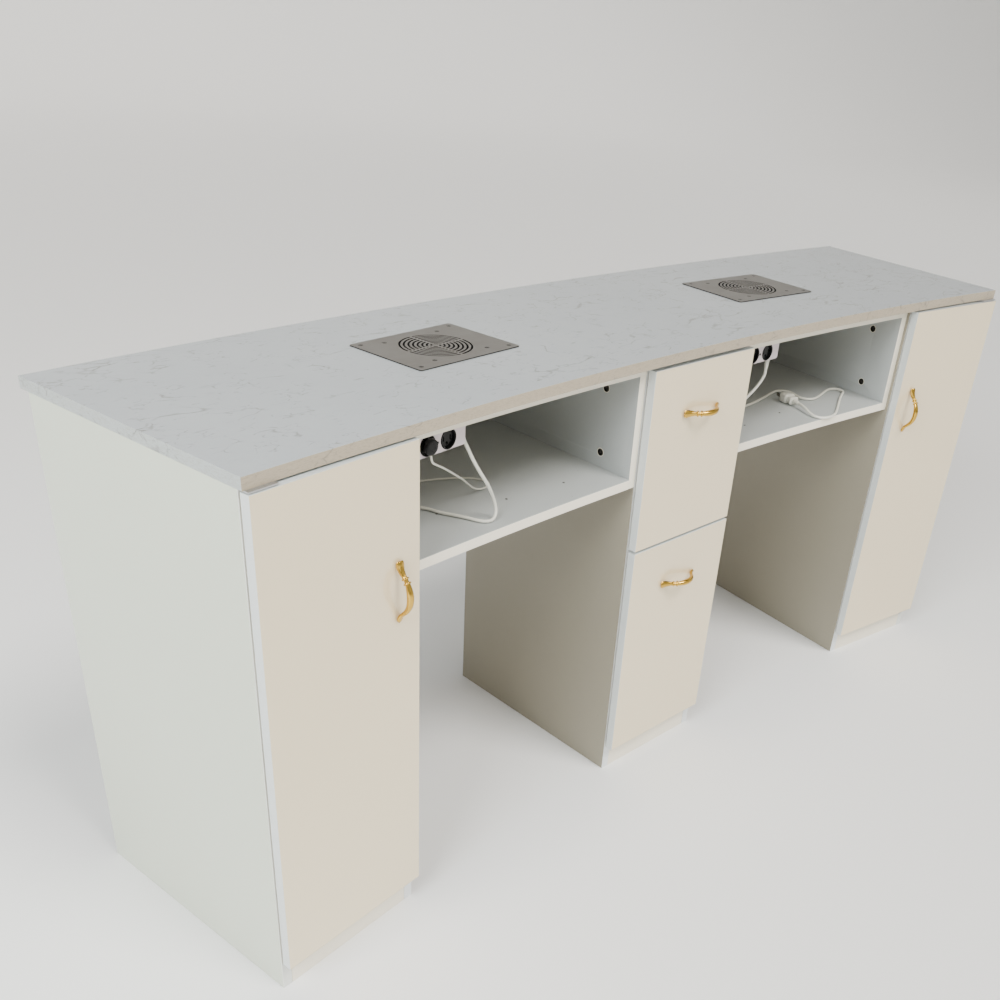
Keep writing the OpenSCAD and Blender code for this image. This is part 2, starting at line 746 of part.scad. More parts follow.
// ---------- drawer pedestal ----------
module pedestal_side() {
    difference() {
        board([-ped_half, -open_half], [0, ped_d], [0, under_z]);
        translate([-ped_half, 0, 0]) bolt_places() bolt_hole(bolt_r + 0.1, -1, board_t + 1);
    }
}
module pedestal_left_side() { color("whitesmoke") framed() pedestal_side(); }
module pedestal_right_side() { color("whitesmoke") framed() right_hand() pedestal_side(); }
module pedestal_bottom() {
    color("whitesmoke") framed() board([-open_half, open_half], [0, ped_d - back_t],
                                       [plinth_h, plinth_h + board_t]);
}
module pedestal_back() {
    color("whitesmoke") framed() board([-open_half, open_half], [ped_d - back_t, ped_d],
                                       [plinth_h, under_z]);
}
// member 0 is fixed to the pedestal, 1 is the link and 2 runs on the drawer
module slide_member(member, box_z, box_h) {
    step = slide_room / 3;
    height = rail_hs[member];
    x1 = open_half - member * step;
    thick = member == 2 ? step : step - clear;
    z = box_z + box_h / 2 - height / 2;
    both() board([-x1, -x1 + thick], [2, 2 + slide_l], [z, z + height]);
}
module slide_rails() {
    color("silver") framed() {
        slide_member(0, upper_box_z, upper_box_h);
        slide_member(0, lower_box_z, lower_box_h);
    }
}
module upper_slide_links() {
    color("silver") framed() slide_member(1, upper_box_z, upper_box_h);
}
module lower_slide_links() {
    color("silver") framed() slide_member(1, lower_box_z, lower_box_h);
}
module upper_drawer_runners() {
    color("silver") framed() slide_member(2, upper_box_z, upper_box_h);
}
module lower_drawer_runners() {
    color("silver") framed() slide_member(2, lower_box_z, lower_box_h);
}
module drawer_front(z0, z1) {
    board([-drawer_w / 2, drawer_w / 2], [front_face, -front_gap], [z0, z1]);
}
module drawer_box(z, h) {
    outer = [-box_half, box_half];
    inner = [-box_half + box_t, box_half - box_t];
    back = box_front + box_d;
    both() board([-box_half, -box_half + box_t], [box_front, back], [z, z + h]);
    board(inner, [box_front, box_front + box_t], [z, z + h]);
    board(inner, [back - box_t, back], [z, z + h]);
    board(inner, [box_front, back], [z + floor_z, z + floor_z + floor_t]);
}
module upper_drawer_front() {
    color("linen") framed() drawer_front(upper_low_z, upper_top_z);
}
module lower_drawer_front() {
    color("linen") framed() drawer_front(plinth_h, lower_top_z);
}
module upper_drawer_box() { color("white") framed() drawer_box(upper_box_z, upper_box_h); }
module lower_drawer_box() { color("white") framed() drawer_box(lower_box_z, lower_box_h); }
module upper_drawer_handle() {
    color("gold") framed() translate([0, front_face, upper_top_z - drawer_pull_in]) pull();
}
module lower_drawer_handle() {
    color("gold") framed() translate([0, front_face, lower_top_z - drawer_pull_in]) pull();
}

worktop();
left_vent_plate();
right_vent_plate();
vent_screws();
left_fan_frame();
right_fan_frame();
fan_guards();
left_fan_rotor();
right_fan_rotor();
left_cubby_top();
left_cubby_shelf();
left_cubby_walls();
right_cubby_top();
right_cubby_shelf();
right_cubby_walls();
cubby_backs();
connector_bolts();
left_power_strip();
right_power_strip();
power_sockets();
lead_glands();
left_outer_side();
left_inner_side();
left_cabinet_bottom();
right_outer_side();
right_inner_side();
right_cabinet_bottom();
cabinet_shelves();
cabinet_backs();
top_rails();
plinths();
pedestal_left_side();
pedestal_right_side();
pedestal_bottom();
pedestal_back();
slide_rails();
upper_slide_links();
lower_slide_links();
door_pivots();
door_catches();
left_door();
left_door_handle();
right_door();
right_door_handle();
upper_drawer_front();
upper_drawer_box();
upper_drawer_runners();
upper_drawer_handle();
lower_drawer_front();
lower_drawer_box();
lower_drawer_runners();
lower_drawer_handle();
fan_plug();
fan_lead();
left_lead();
left_lead_coil();
left_plug();
right_lead();
right_plug();
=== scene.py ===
"""A two-station manicure table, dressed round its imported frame.

The frame holds every part at its real size. Each class below builds the visible pieces of one
sub-assembly in metres, in that same frame, and gives them their finishes.
"""

import json
import logging
import math
from dataclasses import dataclass, field
from enum import Enum
from typing import Iterable, Sequence

import bmesh
import bpy
from mathutils import Matrix, Vector
from mathutils.geometry import tessellate_polygon

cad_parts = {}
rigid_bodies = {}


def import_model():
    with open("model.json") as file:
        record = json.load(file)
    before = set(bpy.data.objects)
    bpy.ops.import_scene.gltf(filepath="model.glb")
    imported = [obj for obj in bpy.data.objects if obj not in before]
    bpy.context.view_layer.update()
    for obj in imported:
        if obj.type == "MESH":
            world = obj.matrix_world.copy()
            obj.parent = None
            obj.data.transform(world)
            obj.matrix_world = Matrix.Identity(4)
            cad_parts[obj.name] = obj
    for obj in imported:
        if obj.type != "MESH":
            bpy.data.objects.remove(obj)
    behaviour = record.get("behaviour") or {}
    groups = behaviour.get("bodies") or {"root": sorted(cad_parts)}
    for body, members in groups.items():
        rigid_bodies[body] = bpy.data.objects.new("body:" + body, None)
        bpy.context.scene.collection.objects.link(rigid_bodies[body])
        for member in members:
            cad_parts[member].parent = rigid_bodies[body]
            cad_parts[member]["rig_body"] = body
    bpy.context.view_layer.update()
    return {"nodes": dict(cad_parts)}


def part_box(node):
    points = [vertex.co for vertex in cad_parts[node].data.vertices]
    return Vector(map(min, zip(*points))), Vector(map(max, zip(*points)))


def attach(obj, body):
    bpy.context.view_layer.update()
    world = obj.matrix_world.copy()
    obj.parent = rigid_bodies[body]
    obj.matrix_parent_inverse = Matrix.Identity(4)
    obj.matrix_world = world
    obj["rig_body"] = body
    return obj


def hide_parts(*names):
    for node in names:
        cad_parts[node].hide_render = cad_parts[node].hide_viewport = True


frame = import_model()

MM = 0.001
log = logging.getLogger("manicure_table")

Colour = tuple[float, float, float]
Point = tuple[float, float, float]
Pair = tuple[float, float]
Piece = bpy.types.Object
Socket = bpy.types.NodeSocket

TOP_Z = 780.0
WING_CORNER = (-594.5, -32.0)
WING_DEGREES = 7.4
FRONT_FACE_Y = -17.5
PIN_GAP = 6.3
BOARD_EASE, FRONT_EASE, FINE_EASE = 0.0008, 0.0012, 0.0005


class Slot(Enum):
    """The record's material slots."""

    STONE = "stone_top"
    FRONT = "gloss_front"
    SIDE = "gloss_side"
    CARCASS = "carcass"
    BACK = "back_panel"
    DRAWER = "drawer_board"
    VENT = "vent_steel"
    SCREW = "screw_steel"
    FAN = "fan_black"
    GUARD = "guard_wire"
    GOLD = "gold"
    STRIP = "strip_white"
    SOCKET = "socket_black"
    LEAD = "lead_white"
    BOLT = "bolt_dark"
    SLIDE = "slide_steel"
    CATCH = "catch_grey"


class Side(Enum):
    """Which half of the table a sub-assembly belongs to."""

    LEFT = "left"
    RIGHT = "right"

    @property
    def sign(self) -> float:
        """-1 on the left and 1 on the right."""
        return -1.0 if self is Side.LEFT else 1.0


# ---------------------------------------------------------------- shader maths


class Value:
    """A number from a shader node, combined with others by Python's operators."""

    def __init__(self, graph: "Graph", socket: Socket) -> None:
        """Keeps an output socket that gives a number, and the graph that it belongs to."""
        self.graph = graph
        self.socket = socket

    def __add__(self, other: "Value | float") -> "Value":
        """The sum."""
        return self.graph.math("ADD", self, other)

    def __sub__(self, other: "Value | float") -> "Value":
        """The difference."""
        return self.graph.math("SUBTRACT", self, other)

    def __mul__(self, other: "Value | float") -> "Value":
        """The product."""
        return self.graph.math("MULTIPLY", self, other)

    def band(self, low: float, high: float) -> "Value":
        """Runs smoothly from 0 at low to 1 at high, which may be under low."""
        made = self.graph.node(
            "ShaderNodeMapRange",
            {"interpolation_type": "SMOOTHSTEP"},
            {"Value": self, "From Min": low, "From Max": high},
        )
        return Value(self.graph, made.outputs["Result"])


class Graph:
    """The node graph of one material."""

    def __init__(self, name: str) -> None:
        """Starts a named material with an empty node tree."""
        self.material = bpy.data.materials.new(name)
        self.material.use_nodes = True
        self.tree = self.material.node_tree
        self.tree.nodes.clear()
        self._where: bpy.types.Node | None = None

    def node(
        self, kind: str, settings: dict | None = None, inputs: dict | None = None
    ) -> bpy.types.Node:
        """Adds any node, with its settings first and its sockets after.

        Args:
            kind: the node's type.
            settings: attributes to set, where "stops" fills a colour ramp.
            inputs: a socket's name or number to a number, a Value or a socket.

        Returns:
            The new node.
        """
        made = self.tree.nodes.new(kind)
        for name, value in (settings or {}).items():
            if name == "stops":
                self._fill_ramp(made.color_ramp, value)
            else:
                setattr(made, name, value)
        for key, value in (inputs or {}).items():
            source = value.socket if isinstance(value, Value) else value
            if isinstance(source, Socket):
                self.tree.links.new(source, made.inputs[key])
            else:
                made.inputs[key].default_value = source
        return made

    @staticmethod
    def _fill_ramp(ramp: bpy.types.ColorRamp, stops: Sequence[tuple[float, Colour]]) -> None:
        """Gives a ramp its stops, each a position and a colour."""
        while len(ramp.elements) < len(stops):
            ramp.elements.new(1.0)
        for element, (position, colour) in zip(ramp.elements, stops):
            element.position = position
            element.color = (*colour, 1.0)

    def math(self, operation: str, *operands: "Value | float") -> Value:
        """One Math node's result, from its operands in order."""
        made = self.node("ShaderNodeMath", {"operation": operation}, dict(enumerate(operands)))
        return Value(self, made.outputs[0])

    @property
    def here(self) -> Socket:
        """The point on the piece, in metres, which stays with the piece as it moves."""
        return self._where_node().outputs["Object"]

    def _where_node(self) -> bpy.types.Node:
        """The one Texture Coordinate node of the graph."""
        if self._where is None:
            self._where = self.node("ShaderNodeTexCoord")
        return self._where

    def stretched(self, factors: Point, turn: float = 0.0) -> Socket:
        """The point, turned about Z in radians and multiplied along each axis."""
        inputs = {"Vector": self.here, "Rotation": (0, 0, turn), "Scale": factors}
        return self.node("ShaderNodeMapping", None, inputs).outputs["Vector"]

    def noise(
        self, scale: float, detail: float = 4.0, rough: float = 0.55, at: Socket | None = None
    ) -> Value:
        """Fractal noise from 0 to 1, with scale features in a metre and detail octaves."""
        inputs = {"Vector": at or self.here, "Scale": scale, "Detail": detail, "Roughness": rough}
        return Value(self, self.node("ShaderNodeTexNoise", None, inputs).outputs[0])

    def warped(self, scale: float, amount: float, at: Socket | None = None) -> Socket:
        """Coordinates pushed about by coloured noise.

        Args:
            scale: features in a metre.
            amount: the largest push, in metres.
            at: coordinates to push.

        Returns:
            The warped coordinates.
        """
        source = at or self.here
        cloud = self.node(
            "ShaderNodeTexNoise", None, {"Vector": source, "Scale": scale, "Detail": 3.0}
        )
        push = self.node(
            "ShaderNodeVectorMath", {"operation": "SCALE"}, {0: cloud.outputs[1], "Scale": amount}
        )
        return self.node(
            "ShaderNodeVectorMath", {"operation": "ADD"}, {0: source, 1: push.outputs[0]}
        ).outputs[0]

    def cells(self, scale: float, feature: str, at: Socket | None = None) -> Value:
        """The distance that feature names, in a pattern with scale cells in a metre."""
        inputs = {"Vector": at or self.here, "Scale": scale}
        made = self.node("ShaderNodeTexVoronoi", {"feature": feature}, inputs)
        return Value(self, made.outputs["Distance"])

    def facing(self, direction: Point) -> Value:
        """How squarely the surface faces along a direction or against it, from 0 to 1."""
        inputs = {0: self._where_node().outputs["Normal"], 1: direction}
        dot = self.node("ShaderNodeVectorMath", {"operation": "DOT_PRODUCT"}, inputs)
        return self.math("ABSOLUTE", Value(self, dot.outputs["Value"]))

    def mix(self, factor: "Value | float", first: object, second: object) -> Socket:
        """Mixes two colours.

        Args:
            factor: 0 gives the first colour and 1 the second.
            first: a colour, or a socket that gives one.
            second: the other.

        Returns:
            The mixed colour's socket.
        """
        colours = [(*c, 1.0) if isinstance(c, tuple) else c for c in (first, second)]
        inputs = {0: factor, 6: colours[0], 7: colours[1]}
        return self.node("ShaderNodeMix", {"data_type": "RGBA"}, inputs).outputs[2]

    def bump(self, height: Value, depth: float, strength: float) -> Socket:
        """A normal bumped by a height from 0 to 1, which stands for a depth in metres."""
        inputs = {"Height": height, "Distance": depth, "Strength": strength}
        return self.node("ShaderNodeBump", None, inputs).outputs["Normal"]

    def close(self, **sockets: object) -> bpy.types.Material:
        """Adds the surface shader and the output.

        Args:
            sockets: the shader's inputs, by name with _ for spaces.

        Returns:
            The finished material.
        """
        inputs = {}
        for name, value in sockets.items():
            inputs[name.replace("_", " ")] = (*value, 1.0) if isinstance(value, tuple) else value
        shader = self.node("ShaderNodeBsdfPrincipled", None, inputs)
        self.node("ShaderNodeOutputMaterial", None, {"Surface": shader.outputs[0]})
        return self.material


# ---------------------------------------------------------------- finishes


@dataclass(frozen=True)
class Finish:
    """A finish: a name, a main colour and how its material is made."""

    name: str
    colour: Colour

    def material(self) -> bpy.types.Material:
        """The finish's material, made once."""
        found = bpy.data.materials.get(self.name)
        return found or self.make(Graph(self.name))

    def make(self, graph: Graph) -> bpy.types.Material:
        """Builds the material in an empty graph."""
        raise NotImplementedError


@dataclass(frozen=True)
class Stone(Finish):
    """Polished pale engineered stone with short wispy veins, front edges painted warm as painted
    light, and a painted highlight along the eased top edge.
    """

    vein: Colour = (0.13, 0.12, 0.11)
    # Painted warm front light: the tone of front-facing edges.
    edge: Colour = (0.42, 0.355, 0.26)
    # Painted highlight colour for the eased top edge.
    arris_highlight: Colour = (0.80, 0.78, 0.72)
    rough: float = 0.16

    def _wisps(self, graph: Graph, scale: float, width: float, cover: float) -> Value:
        """Short broken lines along the edges of warped cells.

        Args:
            graph: the material's graph.
            scale: cells in a metre.
            width: the lines' width, as a share of a cell.
            cover: the noise level over which a line shows.

        Returns:
            1 on a line and 0 off it.
        """
        flow = graph.stretched((0.75, 1.5, 1.2), math.radians(14))
        lines = graph.cells(scale, "DISTANCE_TO_EDGE", graph.warped(scale * 0.9, 1.3 / scale, flow))
        patches = graph.noise(scale * 0.8, 3.0).band(cover, cover + 0.08)
        taper = graph.noise(scale * 4.0, 2.0).band(0.34, 0.6)
        return lines.band(width, 0.0) * patches * taper

    def make(self, graph: Graph) -> bpy.types.Material:
        """Builds the material in an empty graph."""
        cloud = graph.noise(2.6, 5.0).band(0.3, 0.72)
        haze = graph.noise(34.0, 4.0, 0.7).band(0.35, 0.75)
        r, g, b = self.colour
        ground = graph.mix(cloud, (r * 0.93, g * 0.94, b * 0.95), self.colour)
        ground = graph.mix(haze * 0.30, ground, (r * 0.86, g * 0.86, b * 0.87))
        edge = graph.facing((0.0, 0.0, 1.0)).band(0.75, 0.35)
        grain = graph.noise(160.0, 5.0, 0.7, graph.stretched((1.0, 1.0, 5.0)))
        # Painted light: edges facing front take the warm edge tone where the warm front light
        # falls, and side edges stay near the top's grey. The grain streaks over them are real.
        front = graph.facing((0.0, 1.0, 0.0)).band(0.3, 0.8)
        edge_tone = graph.mix(front, (r * 0.98, g * 1.0, b * 0.95), self.edge)
        edge_tone = graph.mix(
            grain.band(0.45, 0.62) * 0.35, edge_tone, tuple(c * 0.5 for c in self.edge)
        )
        ground = graph.mix(edge, ground, edge_tone)
        # Painted highlight: bevel faces that face partly up take a light tone along the top edge.
        level = graph.facing((0.0, 0.0, 1.0))
        ground = graph.mix(level.band(0.12, 0.35) * level.band(0.97, 0.85), ground, self.arris_highlight)
        wisps = self._wisps(graph, 9.0, 0.028, 0.53) * 0.6
        wisps = wisps + self._wisps(graph, 21.0, 0.045, 0.53) * 0.6
        wisps = wisps + self._wisps(graph, 44.0, 0.07, 0.53) * 0.5
        ground = graph.mix(graph.math("MINIMUM", wisps, 0.85), ground, self.vein)
        specks = graph.cells(330.0, "F1").band(0.22, 0.10) * graph.noise(60.0, 2.0).band(0.5, 0.62)
        ground = graph.mix(specks * 0.28, ground, (0.19, 0.18, 0.17))
        rough = graph.noise(5.0, 3.0) * 0.08 + self.rough + edge * 0.18
        return graph.close(
            Base_Color=ground,
            Roughness=rough,
            Normal=graph.bump(graph.noise(420.0, 3.0), 0.00004, 0.25),
            Coat_Weight=0.35,
            Coat_Roughness=0.07,
        )


@dataclass(frozen=True)
class Lacquer(Finish):
    """High-gloss lacquered board: a flawless face and a cooler, duller edge band."""

    edge: Colour = (0.60, 0.63, 0.62)
    face: Point = (0.0, 1.0, 0.0)
    rough: float = 0.2

    def make(self, graph: Graph) -> bpy.types.Material:
        """Builds the material in an empty graph."""
        r, g, b = self.colour
        cloud = graph.noise(1.7, 3.0).band(0.3, 0.75)
        tone = graph.mix(cloud * 0.6, self.colour, (r * 0.965, g * 0.96, b * 0.945))
        dust = graph.noise(900.0, 2.0).band(0.70, 0.80) * graph.noise(7.0, 2.0).band(0.45, 0.7)
        tone = graph.mix(dust * 0.12, tone, (r * 0.6, g * 0.58, b * 0.55))
        edge = graph.facing(self.face).band(0.97, 0.8)
        tone = graph.mix(edge, tone, self.edge)
        smears = graph.noise(6.0, 4.0, 0.6, graph.stretched((1.0, 1.0, 0.35))).band(0.35, 0.8)
        ripple = graph.noise(150.0, 2.0) * 0.7 + graph.noise(38.0, 2.0) * 0.3
        return graph.close(
            Base_Color=tone,
            Roughness=smears * 0.05 + self.rough + edge * 0.2,
            Normal=graph.bump(ripple, 0.00003, 0.2),
            Coat_Weight=0.8,
            Coat_Roughness=0.05,
        )


@dataclass(frozen=True)
class Laminate(Finish):
    """Satin melamine board with a fine pebble grain, faint scuffs and a paler edge band."""

    edge: Colour = (0.80, 0.78, 0.72)
    rough: float = 0.42

    def make(self, graph: Graph) -> bpy.types.Material:
        """Builds the material in an empty graph."""
        r, g, b = self.colour
        cloud = graph.noise(2.2, 4.0).band(0.3, 0.75)
        tone = graph.mix(cloud * 0.7, self.colour, (r * 0.95, g * 0.955, b * 0.96))
        streak = graph.noise(9.0, 4.0, 0.6, graph.stretched((1.0, 9.0, 3.0), math.radians(21)))
        tone = graph.mix(streak.band(0.60, 0.78) * 0.10, tone, (r * 0.72, g * 0.70, b * 0.67))
        specks = graph.cells(38.0, "F1").band(0.05, 0.02) * graph.noise(6.0, 2.0).band(0.5, 0.6)
        tone = graph.mix(specks * 0.6, tone, (0.16, 0.14, 0.12))
        edge = graph.facing((0.0, 1.0, 0.0)).band(0.9, 0.985)
        tone = graph.mix(edge, tone, self.edge)
        pebble = graph.noise(1400.0, 3.0, 0.6)
        return graph.close(
            Base_Color=tone,
            Roughness=cloud * 0.07 + self.rough - edge * 0.08,
            Normal=graph.bump(pebble, 0.00005, 0.35),
            Coat_Weight=0.1,
            Coat_Roughness=0.25,
        )


@dataclass(frozen=True)
class BrushedSteel(Finish):
    """Sheet steel with fine parallel brush lines, where faces that don't face up, such as slot
    walls and edges, can be painted darker as shade.
    """

    along: Point = (6.0, 900.0, 900.0)
    turn: float = 0.0
    rough: float = 0.36
    # How dark faces that don't face up are painted, as painted shade in the slots; 1 leaves them as
    # they are.
    side_shade: float = 1.0

    def make(self, graph: Graph) -> bpy.types.Material:
        """Builds the material in an empty graph."""
        lines = graph.noise(1.0, 4.0, 0.7, graph.stretched(self.along, self.turn))
        smear = graph.noise(18.0, 4.0, 0.6).band(0.35, 0.8)
        r, g, b = self.colour
        tone = graph.mix(lines.band(0.3, 0.75), (r * 0.82, g * 0.81, b * 0.80), self.colour)
        tone = graph.mix(smear * 0.25, tone, (r * 0.85, g * 0.80, b * 0.73))
        # Painted shade: faces that don't face up, the slot walls and plate edges, are darkened.
        side = graph.facing((0.0, 0.0, 1.0)).band(0.6, 0.3)
        tone = graph.mix(side, tone, (r * self.side_shade, g * self.side_shade, b * self.side_shade))
        return graph.close(
            Base_Color=tone,
            Metallic=0.92,
            Roughness=lines * 0.14 + self.rough + smear * 0.08,
            Normal=graph.bump(lines, 0.00003, 0.35),
        )


@dataclass(frozen=True)
class Plated(Finish):
    """Smooth plated metal with faint handling marks and a patchy tarnish film."""

    rough: float = 0.14
    tarnish: Colour = (0.30, 0.17, 0.05)

    def make(self, graph: Graph) -> bpy.types.Material:
        """Builds the material in an empty graph."""
        marks = graph.noise(130.0, 5.0, 0.65)
        film = graph.noise(55.0, 3.0).band(0.5, 0.8)
        tone = graph.mix(film * 0.35, self.colour, self.tarnish)
        return graph.close(
            Base_Color=tone,
            Metallic=1.0,
            Roughness=marks * 0.08 + self.rough + film * 0.08,
            Normal=graph.bump(marks, 0.00004, 0.25),
        )


@dataclass(frozen=True)
class Moulded(Finish):
    """Moulded plastic with a fine spark-eroded grain and a little soiling."""

    rough: float = 0.38
    soil: Colour = (0.45, 0.42, 0.38)
    grain: float = 1800.0
    shine: float = 0.5

    def make(self, graph: Graph) -> bpy.types.Material:
        """Builds the material in an empty graph."""
        cloud = graph.noise(40.0, 4.0, 0.6).band(0.45, 0.8)
        tone = graph.mix(cloud * 0.14, self.colour, self.soil)
        pebble = graph.noise(self.grain, 3.0, 0.6)
        return graph.close(
            Base_Color=tone,
            Roughness=cloud * 0.10 + self.rough,
            Specular_IOR_Level=self.shine,
            Normal=graph.bump(pebble, 0.00004, 0.3),
        )


@dataclass(frozen=True)
class FloorPaint(Finish):
    """The pale, even studio floor."""

    def make(self, graph: Graph) -> bpy.types.Material:
        """Builds the material in an empty graph."""
        tone = graph.mix(
            graph.noise(0.8, 3.0) * 0.3, self.colour, tuple(c * 0.97 for c in self.colour)
        )
        return graph.close(Base_Color=tone, Roughness=graph.noise(4.0, 3.0) * 0.1 + 0.6)


WING_TURN = math.radians(WING_DEGREES)
STONE = Stone("pale stone", (0.375, 0.40, 0.415))
# Painted light: the door and drawer fronts and the side panels are one white gloss lacquer. The
# fronts are painted warm for the warm light that falls on them, and the side panels cool and
# greenish for the cool side light.
FRONT = Lacquer("white gloss lacquer, painted warm front light", (0.82, 0.695, 0.475))
LEFT_FRONT = Lacquer(
    "white gloss lacquer, painted warm front light, left", FRONT.colour, face=(-math.sin(WING_TURN), math.cos(WING_TURN), 0.0)
)
RIGHT_FRONT = Lacquer(
    "white gloss lacquer, painted warm front light, right", FRONT.colour, face=(math.sin(WING_TURN), math.cos(WING_TURN), 0.0)
)
SIDE_PANEL = Lacquer(
    "white gloss lacquer, painted cool side light", (0.545, 0.59, 0.475), edge=(0.72, 0.74, 0.70), face=(1.0, 0.0, 0.0)
)
# White melamine, painted darker as shade for the cubby interiors and tinted blue-grey for the cool
# light that falls there.
CARCASS = Laminate("white melamine, painted shade and cool light", (0.425, 0.445, 0.44), edge=(0.95, 0.885, 0.74))
# Painted shade: the knee-space panels are white melamine, painted dark warm grey for the shade
# under the top. Their front edge band stays bright.
SHADED_KNEE_BOARD = Laminate("white melamine painted in knee-space shade", (0.27, 0.245, 0.185), edge=(0.76, 0.79, 0.80))
PLINTH = Laminate("cream melamine", (0.84, 0.78, 0.64), edge=(0.88, 0.82, 0.68))
# Painted shade: the back panels are darkened to stand in for the shade at the back of the cubbies
# and cabinets.
SHADED_BACK_BOARD = Laminate("thin board painted in shade", (0.22, 0.22, 0.19), rough=0.5)
DRAWER_BOARD = Laminate("drawer board", (0.66, 0.66, 0.64), rough=0.46)
# Its slot walls and edges are painted near black as shade.
VENT_STEEL = BrushedSteel("warm brushed steel", (0.32, 0.305, 0.285), turn=math.radians(5), side_shade=0.1)
DARK_SCREW = Plated("blackened screw", (0.055, 0.05, 0.047), rough=0.3, tarnish=(0.02, 0.02, 0.02))
FAN_PLASTIC = Moulded(
    "black fan plastic", (0.012, 0.012, 0.013), rough=0.45, soil=(0.05, 0.05, 0.05)
)
WIRE = Plated("plated wire", (0.55, 0.55, 0.55), rough=0.22, tarnish=(0.25, 0.24, 0.22))
GOLD = Plated("polished gold", (0.60, 0.37, 0.065), rough=0.09)
STRIP_PLASTIC = Moulded("blush white plastic", (0.66, 0.58, 0.60), soil=(0.48, 0.42, 0.42))
SOCKET_PLASTIC = Moulded(
    "gloss black plastic", (0.004, 0.004, 0.0045), rough=0.24, soil=(0.012, 0.012, 0.012), shine=0.2
)
LEAD_PLASTIC = Moulded(
    "soft white plastic", (0.72, 0.71, 0.63), rough=0.42, soil=(0.55, 0.53, 0.45)
)
PIN_METAL = Plated("nickel pin", (0.20, 0.18, 0.15), rough=0.25, tarnish=(0.05, 0.04, 0.03))
BOLT_METAL = Plated("dark zinc", (0.10, 0.095, 0.085), rough=0.34, tarnish=(0.03, 0.03, 0.025))
ZINC = BrushedSteel("zinc plated steel", (0.52, 0.53, 0.54), along=(700.0, 8.0, 700.0), rough=0.3)
CATCH_PLASTIC = Moulded("grey plastic", (0.28, 0.28, 0.28))
FLOOR = FloorPaint("studio floor", (0.86, 0.86, 0.85))


# ---------------------------------------------------------------- frames, in millimetres


ORIGIN_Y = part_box("pedestal_left_side")[0].y
PEDESTAL = Matrix.Translation((0.0, ORIGIN_Y, 0.0)) @ Matrix.Scale(MM, 4)
MIRROR = Matrix.Scale(-1.0, 4, (1.0, 0.0, 0.0))


def hand(side: Side) -> Matrix:
    """The left half's millimetre frame, or its mirror image for the right half."""
    return PEDESTAL @ (MIRROR if side is Side.RIGHT else Matrix.Identity(4))


def turned(x: float, y: float, z: float, degrees: float, axis: str = "Z") -> Matrix:
    """A place in millimetres, and a turn in degrees about one axis."""
    return Matrix.Translation((x, y, z)) @ Matrix.Rotation(math.radians(degrees), 4, axis)


def wing(side: Side) -> Matrix:
    """A door cabinet's frame, at its inner front corner with X negative outwards."""
    return hand(side) @ turned(*WING_CORNER, 0.0, WING_DEGREES)


def in_row(points: Iterable[Point]) -> list[Vector]:
    """Points in metres from the pedestal's front centre, moved into the row frame."""
    return [Vector((x, y + ORIGIN_Y, z)) for x, y, z in points]


# ---------------------------------------------------------------- outlines


def arc(
    radius: float, start: float, end: float, steps: int, x: float = 0.0, y: float = 0.0
) -> list[Pair]:
    """The steps + 1 points of an arc about x, y, with its angles in degrees."""
    angles = [math.radians(start + (end - start) * i / steps) for i in range(steps + 1)]
    return [(x + radius * math.cos(a), y + radius * math.sin(a)) for a in angles]


def ring(radius: float, steps: int = 48, x: float = 0.0, y: float = 0.0) -> list[Pair]:
    """A full circle's points, once each."""
    return arc(radius, 0.0, 360.0, steps, x, y)[:-1]


def rounded(width: float, depth: float, radius: float, steps: int = 6) -> list[Pair]:
    """A rectangle with round corners, centred.

    Args:
        width: its size along X.
        depth: its size along Y.
        radius: its corners' radius.
        steps: chords in each corner.

    Returns:
        Its points, anticlockwise.
    """
    a, b = width / 2 - radius, depth / 2 - radius
    corners = ((a, b, 0), (-a, b, 90), (-a, -b, 180), (a, -b, 270))
    return [p for x, y, turn in corners for p in arc(radius, turn, turn + 90, steps, x, y)]


def smooth_path(points: Sequence[Vector], steps: int = 5) -> list[Vector]:
    """A Catmull-Rom curve through points.

    Args:
        points: the points.
        steps: how many pieces each gap is cut into.

    Returns:
        The finer points, which hold the first ones.
    """
    last, fine = len(points) - 1, []
    for i in range(last):
        a, b, c, d = (points[max(0, min(last, i + k))] for k in (-1, 0, 1, 2))
        for step in range(steps):
            t = step / steps
            square, cube = 2 * a - 5 * b + 4 * c - d, 3 * b - a - 3 * c + d
            fine.append(0.5 * (2 * b + (c - a) * t + square * t**2 + cube * t**3))
    return fine + [points[last].copy()]


# ---------------------------------------------------------------- pieces


def placed(name: str, data: bpy.types.ID) -> Piece:
    """A new object that shows some data, linked into the scene."""
    made = bpy.data.objects.new(name, data)
    bpy.context.scene.collection.objects.link(made)
    return made


def for_both(side: Side, node: str) -> list[str]:
    """The node of both sides, which the left side's piece replaces."""
    return [node] if side is Side.LEFT else []


